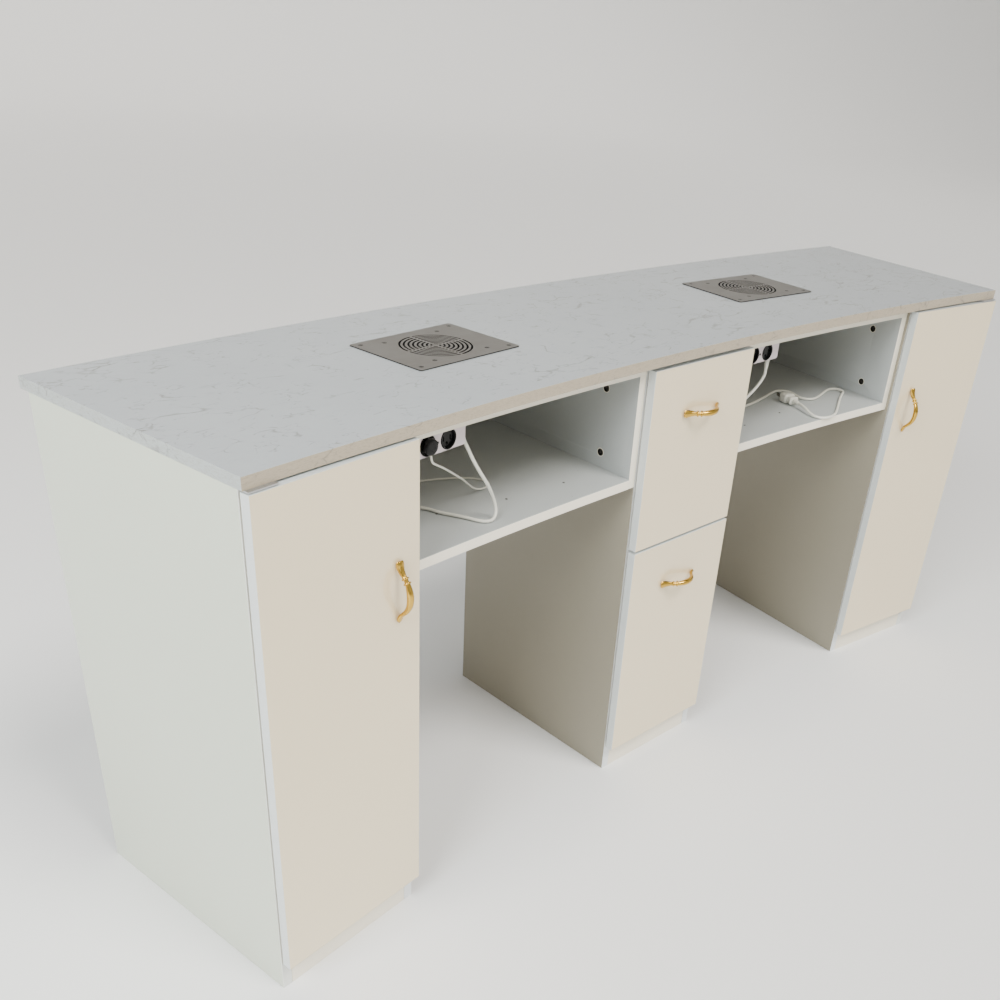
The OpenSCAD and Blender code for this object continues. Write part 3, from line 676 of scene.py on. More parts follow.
@dataclass
class Shape:
    """Collects the geometry of one piece, each part with its own finish."""

    finishes: list[Finish] = field(default_factory=list)
    mesh: bmesh.types.BMesh = field(default_factory=bmesh.new)

    def _number(self, finish: Finish) -> int:
        """The finish's number on this shape."""
        if finish not in self.finishes:
            self.finishes.append(finish)
        return self.finishes.index(finish)

    def add(
        self,
        points: Sequence[Sequence[float]],
        faces: Sequence[Sequence[int]],
        at: Matrix,
        finish: Finish,
    ) -> None:
        """Adds one part.

        Args:
            points: its points, in the frame of at.
            faces: each face's point numbers.
            at: where it goes.
            finish: its finish.
        """
        number = self._number(finish)
        made = [self.mesh.verts.new(at @ Vector(p)) for p in points]
        for face in faces:
            new = self.mesh.faces.new([made[i] for i in face])
            new.material_index = number

    def prism(
        self,
        outline: Sequence[Pair],
        z0: float,
        z1: float,
        at: Matrix,
        finish: Finish,
        holes: Sequence[Sequence[Pair]] = (),
    ) -> None:
        """Adds an outline with holes through it, drawn up from z0 to z1.

        Args:
            outline: its points in order.
            z0: its lower height.
            z1: its upper height.
            at: where it goes.
            finish: its finish.
            holes: the holes' outlines.
        """
        loops = [list(outline), *map(list, holes)]
        flat = [p for loop in loops for p in loop]
        count = len(flat)
        points = [(x, y, z0) for x, y in flat] + [(x, y, z1) for x, y in flat]
        caps = [tuple(range(count))]
        if holes:
            caps = tessellate_polygon([[Vector((x, y, 0)) for x, y in loop] for loop in loops])
        faces = [tuple(c) for c in caps] + [tuple(i + count for i in c) for c in caps]
        start = 0
        for loop in loops:
            size = len(loop)
            for i in range(size):
                a, b = start + i, start + (i + 1) % size
                faces.append((a, b, b + count, a + count))
            start += size
        self.add(points, faces, at, finish)

    def loft(
        self,
        rings: Sequence[Sequence[Sequence[float]]],
        at: Matrix,
        finish: Finish,
        closed: bool = False,
    ) -> None:
        """Joins rings of equal count into a skin.

        Args:
            rings: the rings in order.
            at: where it goes.
            finish: its finish.
            closed: whether the last ring joins the first, in place of two end caps.
        """
        count, total = len(rings[0]), len(rings)
        points = [p for one in rings for p in one]
        faces: list[tuple[int, ...]] = []
        for r in range(total if closed else total - 1):
            low, high = r * count, ((r + 1) % total) * count
            faces += [
                (low + k, low + (k + 1) % count, high + (k + 1) % count, high + k)
                for k in range(count)
            ]
        if not closed:
            faces += [tuple(range(count)), tuple(range((total - 1) * count, total * count))]
        self.add(points, faces, at, finish)

    def lathe(
        self,
        profile: Sequence[Pair],
        at: Matrix,
        finish: Finish,
        steps: int = 40,
        closed: bool = False,
    ) -> None:
        """Turns a profile of radius and height about Z.

        Args:
            profile: its points.
            at: where it goes.
            finish: its finish.
            steps: facets round it.
            closed: whether the profile is a loop, as for a ring.
        """
        turns = [math.tau * k / steps for k in range(steps)]
        rings = [[(r * math.cos(a), r * math.sin(a), z) for a in turns] for r, z in profile]
        self.loft(rings, at, finish, closed)

    def torus(
        self,
        radius: float,
        wire: float,
        at: Matrix,
        finish: Finish,
        steps: int = 64,
        sides: int = 10,
    ) -> None:
        """Adds a ring about Z, of wire with the given radius, steps facets long and sides round."""
        self.lathe(ring(wire, sides, radius), at, finish, steps, closed=True)

    def board(self, x: Pair, y: Pair, z: Pair, at: Matrix, finish: Finish) -> None:
        """Adds a square-edged board between two corners."""
        self.prism([(x[0], y[0]), (x[1], y[0]), (x[1], y[1]), (x[0], y[1])], z[0], z[1], at, finish)

    def node(self, name: str, finish: Finish) -> None:
        """Adds a node's own solids, with doubled points joined and flat faces made whole.

        Args:
            name: the node.
            finish: its finish.
        """
        number = self._number(finish)
        before, faces_before = len(self.mesh.verts), len(self.mesh.faces)
        self.mesh.from_mesh(frame["nodes"][name].data)
        self.mesh.verts.ensure_lookup_table()
        self.mesh.faces.ensure_lookup_table()
        for face in self.mesh.faces[faces_before:]:
            face.material_index = number
        fresh = self.mesh.verts[before:]
        bmesh.ops.remove_doubles(self.mesh, verts=fresh, dist=2e-6)
        fresh = [v for v in self.mesh.verts if v.index >= before or v.index < 0]
        edges = list(dict.fromkeys(e for v in fresh for e in v.link_edges))
        bmesh.ops.dissolve_limit(self.mesh, angle_limit=math.radians(0.1), verts=fresh, edges=edges)

    def piece(
        self,
        name: str,
        body: str,
        slot: Slot,
        ease: float = 0.0,
        replaces: Sequence[str] = (),
        crease: float = 35.0,
    ) -> Piece:
        """Closes the shape and makes it a piece.

        Args:
            name: the piece's name.
            body: the body it rides on.
            slot: the record's slot for its main finish; not used.
            ease: how far its sharp edges are eased, in metres.
            replaces: the nodes it stands for.
            crease: edges sharper than this, in degrees, stay crisp.

        Returns:
            The piece.
        """
        bmesh.ops.recalc_face_normals(self.mesh, faces=self.mesh.faces)
        data = bpy.data.meshes.new(name)
        self.mesh.to_mesh(data)
        self.mesh.free()
        for finish in self.finishes:
            data.materials.append(finish.material())
        data.shade_smooth()
        data.set_sharp_from_angle(angle=math.radians(crease))
        made = placed(name, data)
        if ease:
            bevel = made.modifiers.new("ease", "BEVEL")
            bevel.width, bevel.segments, bevel.limit_method = ease, 2, "ANGLE"
            bevel.angle_limit, bevel.harden_normals = math.radians(crease), True
        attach(made, body)
        if replaces:
            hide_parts(*replaces)
        log.info("%s rides on %s", name, body)
        return made

    def stand_in(
        self, name: str, body: str, slot: Slot, ease: float = 0.0, crease: float = 35.0
    ) -> Piece:
        """Makes the piece that replaces one node, and is named after it."""
        return self.piece(name + ".piece", body, slot, ease, [name], crease)


def eased_node(name: str, finish: Finish, slot: Slot, ease: float = BOARD_EASE) -> Piece:
    """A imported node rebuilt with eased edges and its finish.

    Args:
        name: the node.
        finish: its finish.
        slot: the record's slot.
        ease: how far its edges are eased, in metres.

    Returns:
        The piece, which replaces the node.
    """
    shape = Shape()
    shape.node(name, finish)
    return shape.stand_in(name, frame["nodes"][name]["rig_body"], slot, ease)


# ---------------------------------------------------------------- worktop and vents


@dataclass
class Worktop:
    """The curved stone slab, in millimetres from the pedestal's front centre."""

    top: float = TOP_Z
    thick: float = 16.0
    front_radius: float = 6700.0
    front_over: float = 20.0
    back_radius: float = 8600.0
    back: float = 407.0
    end_out: float = 255.0
    fan_opening: float = 120.6
    curve_steps: int = 64

    def _end_crossing(self, centre: float, radius: float) -> Pair:
        """Where a cabinet's end line meets an edge arc, on the left.

        Args:
            centre: the arc centre's Y.
            radius: the arc's radius.

        Returns:
            The crossing's X and Y.
        """
        cabinet = PEDESTAL.inverted() @ wing(Side.LEFT)
        start = cabinet @ Vector((-self.end_out, 0.0, 0.0))
        along = cabinet.to_3x3() @ Vector((0.0, 1.0, 0.0))
        off = Vector((start.x, start.y - centre))
        dot = off.x * along.x + off.y * along.y
        t = math.sqrt(dot * dot - off.length_squared + radius * radius) - dot
        return start.x + along.x * t, start.y + along.y * t

    def outline(self) -> list[Pair]:
        """The slab's outline, anticlockwise from its front left corner."""
        points = []
        edges = (
            (-self.front_over - self.front_radius, self.front_radius, 1),
            (self.back - self.back_radius, self.back_radius, -1),
        )
        for centre, radius, way in edges:
            x, y = self._end_crossing(centre, radius)
            end = math.atan2(y - centre, x)
            for i in range(self.curve_steps + 1):
                part = i / self.curve_steps
                angle = end + (math.pi - 2 * end) * (part if way > 0 else 1 - part)
                points.append((radius * math.cos(angle), centre + radius * math.sin(angle)))
        return points

    def build(self) -> Piece:
        """Makes the slab."""
        shape = Shape()
        holes = []
        for side in Side:
            place = PEDESTAL.inverted() @ VentStation(side).frame()
            corners = [
                place @ Vector((x, y, 0.0))
                for x, y in rounded(self.fan_opening, self.fan_opening, 1.0, 2)
            ]
            holes.append([(c.x, c.y) for c in corners])
        shape.prism(self.outline(), self.top - self.thick, self.top, PEDESTAL, STONE, holes)
        return shape.piece("worktop_slab", "table", Slot.STONE, 0.0011, ["worktop"])


@dataclass
class VentStation:
    """A steel vent plate with its screws, and the fan and guard under it."""

    side: Side
    x: float = 374.0
    y: float = 194.0
    turn: float = 5.2
    plate: Pair = (200.0, 150.0)
    plate_thick: float = 1.5
    corner: float = 4.0
    ring_pitch: float = 6.6
    slot: float = 3.0
    rings: int = 8
    web: float = 3.0
    screw_in: float = 12.0
    seat: float = 3.7
    head: float = 3.5
    head_high: float = 1.0
    fan_pitch: float = 105.0
    fan_size: float = 120.0
    fan_thick: float = 25.0
    fan_rim: float = 3.0
    flange: float = 4.0
    blades: int = 7
    blade_steps: int = 8
    blade_root: float = 18.5
    blade_reach: float = 36.0
    guard_rings: int = 4
    guard_pitch: float = 13.0

    def frame(self) -> Matrix:
        """The vent's frame: its centre on the worktop."""
        return hand(self.side) @ turned(-self.x, self.y, TOP_Z, self.turn)

    def screw_places(self) -> list[Pair]:
        """The centres of the plate's eight screws."""
        half = (self.plate[0] / 2 - self.screw_in, self.plate[1] / 2 - self.screw_in)
        sizes = (half, (self.fan_pitch / 2, self.fan_pitch / 2))
        return [(x * a, y * b) for a, b in sizes for x in (-1, 1) for y in (-1, 1)]

    def _slots(self) -> list[list[Pair]]:
        """The outlines of the grille's curved slots, with round ends."""
        holes = []
        for number in range(1, self.rings + 1):
            middle = number * self.ring_pitch
            gap = math.degrees((self.web / 2 + self.slot / 2) / middle)
            for quarter in range(4):
                start, end = quarter * 90 + gap, quarter * 90 + 90 - gap
                steps = 4 + 2 * number
                outer = arc(middle + self.slot / 2, start, end, steps)
                inner = arc(middle - self.slot / 2, end, start, steps)
                caps = []
                for angle, first in ((end, end), (start, start + 180)):
                    a = math.radians(angle)
                    x, y = middle * math.cos(a), middle * math.sin(a)
                    caps.append(arc(self.slot / 2, first, first + 180, 4, x, y)[1:-1])
                holes.append(outer + caps[0] + inner + caps[1])
        return holes

    def _plate(self) -> Piece:
        """The plate, pierced by its slots and sunk for its screws."""
        shape = Shape()
        outline = rounded(*self.plate, self.corner)
        seats = [ring(self.seat, 20, x, y) for x, y in self.screw_places()]
        shape.prism(outline, 0.0, self.plate_thick, self.frame(), VENT_STEEL, self._slots() + seats)
        for seat in seats:
            shape.prism(seat, 0.0, self.plate_thick - self.head_high, self.frame(), VENT_STEEL)
        return shape.stand_in(f"{self.side.value}_vent_plate", "table", Slot.VENT, 0.00022)

    def _screws(self) -> Piece:
        """The eight cross-recess screws."""
        shape = Shape()
        for number, (x, y) in enumerate(self.screw_places()):
            at = self.frame() @ turned(x, y, self.plate_thick, number * 37.0)
            cross_screw(shape, at, self.head, self.head_high, DARK_SCREW)
        stands_for = for_both(self.side, "vent_screws")
        return shape.piece(f"{self.side.value}_vent_screws", "table", Slot.SCREW, 0.0, stands_for)

    def _fan_frame(self) -> Piece:
        """The square fan housing with its round bore, motor mount and struts."""
        shape, at, low = Shape(), self.frame(), -self.fan_thick
        bore, flange = self.fan_size / 2 - self.fan_rim, self.flange
        screws = [ring(2.1, 16, x, y) for x, y in self.screw_places()[4:]]
        sizes = (self.fan_size, self.fan_size - self.fan_rim)
        square, waist = (rounded(size, size, self.corner) for size in sizes)
        layers = (
            (square, -flange, -0.02),
            (waist, low + flange, -flange),
            (square, low + 0.02, low + flange),
        )
        for outline, z0, z1 in layers:
            shape.prism(outline, z0, z1, at, FAN_PLASTIC, [ring(bore, 72), *screws])
        mount = ((0.0, 0.05), (18.0, 0.05), (18.8, 0.8), (18.8, 3.0), (0.0, 3.0))
        shape.lathe([(r, low + z) for r, z in mount], at, FAN_PLASTIC)
        shaft = ((0.0, 3.0), (2.0, 3.0), (2.0, 18.0), (0.0, 18.0))
        shape.lathe([(r, low + z) for r, z in shaft], at, DARK_SCREW, 16)
        for strut in range(4):
            turn = at @ turned(0, 0, 0, strut * 90 + 20)
            shape.board((18.0, bore + 0.5), (-1.9, 1.9), (low + 0.1, low + 3.0), turn, FAN_PLASTIC)
        return shape.stand_in(f"{self.side.value}_fan_frame", "table", Slot.FAN, 0.0003)

    def _rotor(self) -> Piece:
        """The rotor: a domed hub and swept, twisted blades."""
        shape, at = Shape(), self.frame() @ turned(0, 0, -self.fan_thick + 3.5, 0)
        dome = [
            (2.2, 0.3), (17.6, 0.3), (18.9, 1.4), (19.0, 16.6), (18.4, 18.2), (16.5, 18.9),
            (9.0, 19.0), (8.2, 18.4), (0.0, 18.3), (0.0, 13.0), (2.2, 13.0),
        ]
        shape.lathe(dome, at, FAN_PLASTIC, 56)
        for blade in range(self.blades):
            rings = []
            for step in range(self.blade_steps + 1):
                part = step / self.blade_steps
                radius = self.blade_root + part * self.blade_reach
                pitch, chord = math.radians(46 - 16 * part), 21.0 + 5.0 * part
                sweep = math.radians(blade * 360 / self.blades + 10 * part)
                section = []
                for u, v in self._blade_section():
                    along, up = u * chord, v * 1.5 + (0.25 - u * u) * 2.6
                    x = along * math.cos(pitch) - up * math.sin(pitch)
                    z = along * math.sin(pitch) + up * math.cos(pitch)
                    turn = sweep + x / radius
                    height = max(0.5, min(18.4, z + 9.5))
                    section.append((radius * math.cos(turn), radius * math.sin(turn), height))
                rings.append(section)
            shape.loft(rings, at, FAN_PLASTIC)
        return shape.stand_in(f"{self.side.value}_fan_rotor", f"{self.side.value}_fan", Slot.FAN)

    @staticmethod
    def _blade_section() -> list[Pair]:
        """A blade's rounded section, for a chord and a thickness of one."""
        upper = [
            (-0.5, 0.0), (-0.47, 0.4), (-0.3, 0.55), (0.0, 0.5), (0.3, 0.42), (0.48, 0.25),
            (0.5, 0.0),
        ]
        return upper + [(u, -v) for u, v in reversed(upper[1:-1])]

    def _guard(self) -> Piece:
        """The finger guard: wire rings on two crossed spokes with eyes at the corners."""
        shape, at = Shape(), self.frame() @ turned(0, 0, -self.fan_thick - 1.25, 0)
        for number in range(1, self.guard_rings + 1):
            shape.torus(number * self.guard_pitch, 0.9, at, WIRE)
        reach = self.fan_pitch / 2 * math.sqrt(2)
        for spoke in range(4):
            turn = at @ turned(0, 0, 0, 45 + 90 * spoke)
            rod = turn @ Matrix.Rotation(math.pi / 2, 4, "Y")
            shape.lathe(
                [(0.0, 6.0), (1.0, 6.0), (1.0, reach - 4.0), (0.0, reach - 4.0)], rod, WIRE, 10
            )
            eye = turn @ turned(reach, 0, 0, 0)
            shape.torus(3.9, 1.05, eye, WIRE, 28)
            head = [(0.0, -1.2), (2.6, -1.2), (3.0, -0.6), (3.0, 0.9), (0.0, 0.9)]
            shape.lathe(head, eye, DARK_SCREW, 20)
        stands_for = for_both(self.side, "fan_guards")
        return shape.piece(f"{self.side.value}_fan_guard", "table", Slot.GUARD, 0.0, stands_for)

    def build(self) -> list[Piece]:
        """Makes the station's pieces."""
        return [self._plate(), self._screws(), self._fan_frame(), self._rotor(), self._guard()]


def cross_screw(shape: Shape, at: Matrix, radius: float, height: float, finish: Finish) -> None:
    """Adds a screw head with a cross recess, its top at z = 0.

    Args:
        shape: the shape to add it to.
        at: the head's frame.
        radius: the head's radius, in millimetres.
        height: the head's height.
        finish: its finish.
    """
    arm, half = radius * 0.62, radius * 0.15
    quarter = [(half, half), (half, arm), (-half, arm)]
    cross = [
        (x * math.cos(a) - y * math.sin(a), x * math.sin(a) + y * math.cos(a))
        for a in (0.0, math.pi / 2, math.pi, math.pi * 1.5)
        for x, y in quarter
    ]
    crown, deep, floor = radius * 0.9, -height * 0.45, -height * 0.4
    shape.prism(ring(crown, 24), deep, 0.0, at, finish, [cross])
    base = [(0.0, -height), (radius, -height), (radius, deep), (crown, floor), (0.0, floor)]
    shape.lathe(base, at, finish, 24)


# ---------------------------------------------------------------- cubbies and power


@dataclass
class Cubby:
    """An open cubby: top board, shelf, two walls and their connector bolts."""

    side: Side
    half_pedestal: float = 124.0
    wall: float = 14.0
    bolt_ys: Pair = (66.0, 320.0)
    bolt_zs: Pair = (607.0, 712.0)
    shelf_z: float = 582.0
    cap_places: tuple[Pair, ...] = (
        (-464.7, 75.7), (-347.2, 56.9), (-232.0, 52.0), (-486.0, 330.0), (-330.0, 345.0),
        (-200.0, 350.0),
    )

    def _bolts(self) -> Piece:
        """The dark sunk bolt heads with bright rims, in both walls."""
        shape = Shape()
        inner = hand(self.side) @ turned(-self.half_pedestal - self.wall, 0, 0, 0)
        outer = wing(self.side) @ turned(self.wall, 0, 0, 0) @ MIRROR
        for wall in (inner, outer):
            for y in self.bolt_ys:
                for z in self.bolt_zs:
                    at = wall @ turned(0, y, z, 90, "Y")
                    shape.torus(6.7, 0.45, at @ turned(0, 0, 0.05, 0), PLINTH, 32, 8)
                    shape.lathe(
                        [(5.75, 0.1), (5.97, 0.1), (5.97, 7.9), (5.75, 7.9)], at, DARK_SCREW, 32,
                        closed=True,
                    )
                    head = [
                        (2.4, 7.9), (5.6, 7.9), (5.65, 3.5), (5.2, 3.0), (2.9, 3.0), (2.4, 3.5),
                        (2.4, 5.5),
                    ]
                    shape.lathe(head, at, BOLT_METAL, 32, closed=True)
                    shape.prism(ring(2.6, 6), 5.4, 6.4, at, BOLT_METAL)
        stands_for = for_both(self.side, "connector_bolts")
        return shape.piece(
            f"{self.side.value}_connector_bolts", "table", Slot.BOLT, 0.0, stands_for
        )

    def _caps(self) -> Piece:
        """Small dark screws in the shelf, just proud of it."""
        shape = Shape()
        for number, (x, y) in enumerate(self.cap_places):
            at = hand(self.side) @ turned(x, y, self.shelf_z + 0.35, number * 29.0)
            cross_screw(shape, at, 2.1, 0.9, BOLT_METAL)
        return shape.piece(f"{self.side.value}_shelf_screws", "table", Slot.BOLT)

    def build(self) -> list[Piece]:
        """Makes the cubby's pieces."""
        parts = (("top", PLINTH), ("shelf", CARCASS), ("walls", CARCASS))
        boards = [
            eased_node(f"{self.side.value}_cubby_{part}", finish, Slot.CARCASS)
            for part, finish in parts
        ]
        return boards + [self._bolts(), self._caps()]


@dataclass
class PowerStrip:
    """A two-socket power strip screwed under the cubby's top."""

    side: Side
    length: float = 94.0
    height: float = 32.0
    depth: float = 24.0
    socket: float = 28.0
    socket_x: Pair = (62.0, 24.0)
    socket_z: float = 15.0
    low_z: float = 716.0

    def frame(self) -> Matrix:
        """The strip's frame: X along it, its face at Y = 0 and its lower edge at Z = 0."""
        if self.side is Side.LEFT:
            return wing(Side.LEFT) @ turned(22.0, 15.0, self.low_z, 0)
        return PEDESTAL @ turned(139.0, 10.0, self.low_z, 0)

    def _case(self) -> Piece:
        """The two-part case with its parting line, socket wells and screw well."""
        shape = Shape()
        upright = self.frame() @ turned(self.length / 2, 0, self.height / 2, -90, "X")
        outline = rounded(self.length, self.height, 4.0)
        inset = rounded(self.length - 0.8, self.height - 0.8, 3.6)
        well, lift = self.socket / 2 + 0.4, self.height / 2 - self.socket_z
        holes = [ring(well, 48, x - self.length / 2, lift) for x in self.socket_x]
        screw = ring(2.4, 20, sum(self.socket_x) / 2 - self.length / 2 - 0.5, 2.0)
        shape.prism(outline, 0.0, 9.6, upright, STRIP_PLASTIC, [*holes, screw])
        shape.prism(inset, 9.6, 10.2, upright, STRIP_PLASTIC)
        shape.prism(outline, 10.2, self.depth, upright, STRIP_PLASTIC)
        return shape.stand_in(f"{self.side.value}_power_strip", "table", Slot.STRIP, 0.0007)

    def _sockets(self) -> Piece:
        """The black round sockets: a rolled rim, a well and a floor with its pin slots."""
        shape, half = Shape(), self.socket / 2
        for x in self.socket_x:
            at = self.frame() @ turned(x, 0, self.socket_z, -90, "X")
            rim = (
                (0.3, 0.2), (0.2, -0.6), (-0.5, -0.95), (-1.4, -0.8),
                (-2.0, 0.0), (-2.3, 3.2), (-2.3, 9.0), (0.3, 9.0),
            )
            shape.lathe([(half + r, z) for r, z in rim], at, SOCKET_PLASTIC, 56, closed=True)
            slot = rounded(2.2, 7.2, 0.4, 2)
            slots = [[(px + gap, py) for px, py in slot] for gap in (-PIN_GAP, PIN_GAP)]
            slots.append(ring(2.2, 16, 0.0, 6.6))
            shape.prism(ring(half - 2.2, 48), 3.0, 4.2, at, SOCKET_PLASTIC, slots)
            shape.prism(ring(half - 2.2, 48), 8.0, 8.9, at, SOCKET_PLASTIC)
        middle = sum(self.socket_x) / 2 - 0.5
        at = self.frame() @ turned(middle, 0.4, self.height / 2 - 2.0, 90, "X")
        cross_screw(shape, at, 2.2, 1.6, SOCKET_PLASTIC)
        stands_for = for_both(self.side, "power_sockets")
        return shape.piece(f"{self.side.value}_sockets", "table", Slot.SOCKET, 0.0, stands_for)

    def _gland(self) -> Piece:
        """The ribbed, tapered sleeve that the lead leaves by."""
        shape = Shape()
        if self.side is Side.LEFT:
            at = self.frame() @ turned(self.length, self.depth / 2, self.height - 4.0, 160, "Y")
        else:
            at = self.frame() @ turned(self.length - 10.0, self.depth / 2, 0.0, 180, "X")
        profile = [(0.0, -1.5), (4.6, -1.5), (4.6, 0.6)]
        for rib in range(6):
            z, r = 1.4 + rib * 3.0, 4.4 - rib * 0.22
            profile += [(r, z), (r, z + 1.5), (r - 0.75, z + 1.9), (r - 0.8, z + 2.7)]
        profile += [(3.1, 19.4), (2.7, 20.0), (0.0, 20.0)]
        shape.lathe(profile, at, LEAD_PLASTIC, 32)
        stands_for = for_both(self.side, "lead_glands")
        return shape.piece(f"{self.side.value}_lead_gland", "table", Slot.LEAD, 0.0, stands_for)

    def build(self) -> list[Piece]:
        """Makes the strip's pieces."""
        return [self._case(), self._sockets(), self._gland()]


# ---------------------------------------------------------------- leads


@dataclass
class MainsPlug:
    """A moulded two-pin plug, its strain relief at the origin and its pins along Y."""

    side: Side
    at: Point
    turn: float

    def build(self) -> Piece:
        """Makes the plug."""
        shape = Shape()
        frame_at = PEDESTAL @ turned(*self.at, self.turn) @ Matrix.Rotation(-math.pi / 2, 4, "X")
        relief = [(0.0, 0.0), (3.0, 0.0), (3.3, 0.5)]
        for rib in range(4):
            s, r = 0.8 + rib * 3.2, 3.5 + rib * 0.5
            relief += [(r, s), (r + 0.15, s + 1.9), (r - 0.7, s + 2.2), (r - 0.65, s + 2.9)]
        shape.lathe([*relief, (5.5, 14.4), (0.0, 14.4)], frame_at, LEAD_PLASTIC, 28)
        sections = (
            (14.0, 17.0, 12.4), (14.5, 19.2, 14.2), (15.2, 20.0, 15.0), (18.0, 20.0, 15.0),
            (18.8, 19.0, 14.0), (19.6, 17.2, 13.2), (21.0, 17.0, 13.0), (25.6, 17.0, 13.0),
            (27.0, 19.0, 14.2), (28.3, 24.2, 16.8), (29.4, 25.0, 17.4), (43.4, 25.0, 17.4),
            (44.4, 24.2, 16.6), (45.0, 22.6, 15.0),
        )
        rings = [
            [(px, py, s) for px, py in rounded(w, h, min(5.0, h / 2 - 0.5), 5)]
            for s, w, h in sections
        ]
        shape.loft(rings, frame_at, LEAD_PLASTIC)
        blade = ((44.0, 1.5, 6.3), (59.5, 1.5, 6.3), (61.0, 1.2, 5.2), (61.5, 0.7, 4.2))
        for gap in (-PIN_GAP, PIN_GAP):
            rings = [[(px + gap, py, s) for px, py in rounded(w, h, 0.3, 2)] for s, w, h in blade]
            shape.loft(rings, frame_at, PIN_METAL)
        return shape.stand_in(f"{self.side.value}_plug", "table", Slot.LEAD)


@dataclass
class FanPlug:
    """The fan's round black plug, seated in the left strip's outer socket."""

    grips: int = 16

    def build(self) -> Piece:
        """Makes the plug."""
        shape = Shape()
        strip = PowerStrip(Side.LEFT)
        at = strip.frame() @ turned(strip.socket_x[1], 0, strip.socket_z, 90, "X")
        profile = [
            (0.0, 1.3), (9.8, 1.3), (10.2, 1.7), (10.4, 2.8), (11.0, 3.4), (11.0, 6.6), (10.6, 8.2),
            (9.4, 9.1), (8.6, 9.3), (5.0, 9.3), (4.6, 8.9), (0.0, 8.9),
        ]
        shape.lathe(profile, at, SOCKET_PLASTIC, 48)
        for grip in range(self.grips):
            turn = at @ turned(0, 0, 0, grip * 360 / self.grips)
            shape.board((10.6, 10.98), (-0.8, 0.8), (3.8, 6.4), turn, SOCKET_PLASTIC)
        for gap in (-PIN_GAP, PIN_GAP):
            shape.board((gap - 0.8, gap + 0.8), (-3.0, 3.0), (-2.8, 2.0), at, PIN_METAL)
        return shape.stand_in("fan_plug", "table", Slot.SOCKET)


class Lay(Enum):
    """How a lead lies, in the frame's own words."""

    LOOSE = "loose"
    COILED = "coiled"
    HANGING = "hanging"


@dataclass
class Lead:
    """A lead that follows a route of chosen points, in metres from the pedestal's front centre."""

    name: str
    diameter: float
    route: Sequence[Point]
    lay: Lay
    stands_for: tuple[str, ...]
    slot: Slot = Slot.LEAD
    fine: int = 5

    def line(self) -> list[Vector]:
        """The lead's centreline in the row frame."""
        return smooth_path(in_row(self.route), self.fine)

    def build(self, plug: Piece) -> Piece:
        """Args:
            plug: the piece on its far end; not used.

        Returns:
            The lead.
        """
        points = self.line()
        curve = bpy.data.curves.new(self.name, "CURVE")
        curve.dimensions, curve.bevel_depth, curve.bevel_resolution = "3D", self.diameter / 2, 4
        curve.use_fill_caps = True
        spline = curve.splines.new("POLY")
        spline.points.add(len(points) - 1)
        for target, point in zip(spline.points, points):
            target.co = (*point, 1.0)
        spline.use_smooth = True
        curve.materials.append(LEAD_PLASTIC.material())
        made = placed(self.name, curve)
        length = sum((b - a).length for a, b in zip(points, points[1:]))
        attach(made, "table")
        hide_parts(*self.stands_for)
        log.info("%s is %.3f m long", self.name, length)
        return made


@dataclass
class Coil:
    """The put-away coil of the left lead: two turns on the shelf and one and a quarter on them."""

    centre: Pair = (-0.512, 0.1416)
    outer: float = 0.0276
    inner: float = 0.0224
    upper: float = 0.025
    low_z: float = 0.585
    high_z: float = 0.5902
    step: int = 15
    sweep: int = 1170

    @staticmethod
    def _ease(value: float, start: float, end: float) -> float:
        """0 before start and 1 after end, with a smooth rise between."""
        t = max(0.0, min(1.0, (value - start) / (end - start)))
        return t * t * (3 - 2 * t)

    def points(self) -> list[Point]:
        """The coil's points, clockwise from the front for three and a quarter turns."""
        made = []
        for angle in range(self.step, self.sweep + 1, self.step):
            inward, rise = self._ease(angle, 300, 360), self._ease(angle, 600, 660)
            radius = self.outer + (self.inner - self.outer) * inward
            radius += (self.upper - self.inner) * rise
            turn = math.radians(-90 - angle)
            made.append((
                self.centre[0] + radius * math.cos(turn),
                self.centre[1] + radius * math.sin(turn),
                self.low_z + (self.high_z - self.low_z) * rise,
            ))
        return made


LEFT_ROUTE: tuple[Point, ...] = (
    (-0.476, 0.0105, 0.725), (-0.474, 0.007, 0.714), (-0.47, 0.003, 0.702), (-0.464, 0, 0.688),
    (-0.454, 0, 0.672), (-0.4415, 0.003, 0.656), (-0.4285, 0.008, 0.64), (-0.417, 0.013, 0.624),
    (-0.409, 0.0155, 0.609), (-0.407, 0.014, 0.598), (-0.411, 0.0105, 0.5895),
    (-0.4195, 0.008, 0.5855), (-0.429, 0.011, 0.585), (-0.436, 0.0205, 0.585),
    (-0.442, 0.0345, 0.585), (-0.451, 0.052, 0.585), (-0.462, 0.072, 0.585), (-0.468, 0.09, 0.585),
    (-0.477, 0.104, 0.585), (-0.492, 0.112, 0.585), (-0.512, 0.114, 0.585),
)
COIL_TAIL: tuple[Point, ...] = (
    (-0.537, 0.142, 0.5902), (-0.5375, 0.156, 0.59), (-0.541, 0.171, 0.589), (-0.547, 0.186, 0.59),
    (-0.551, 0.201, 0.591),
)
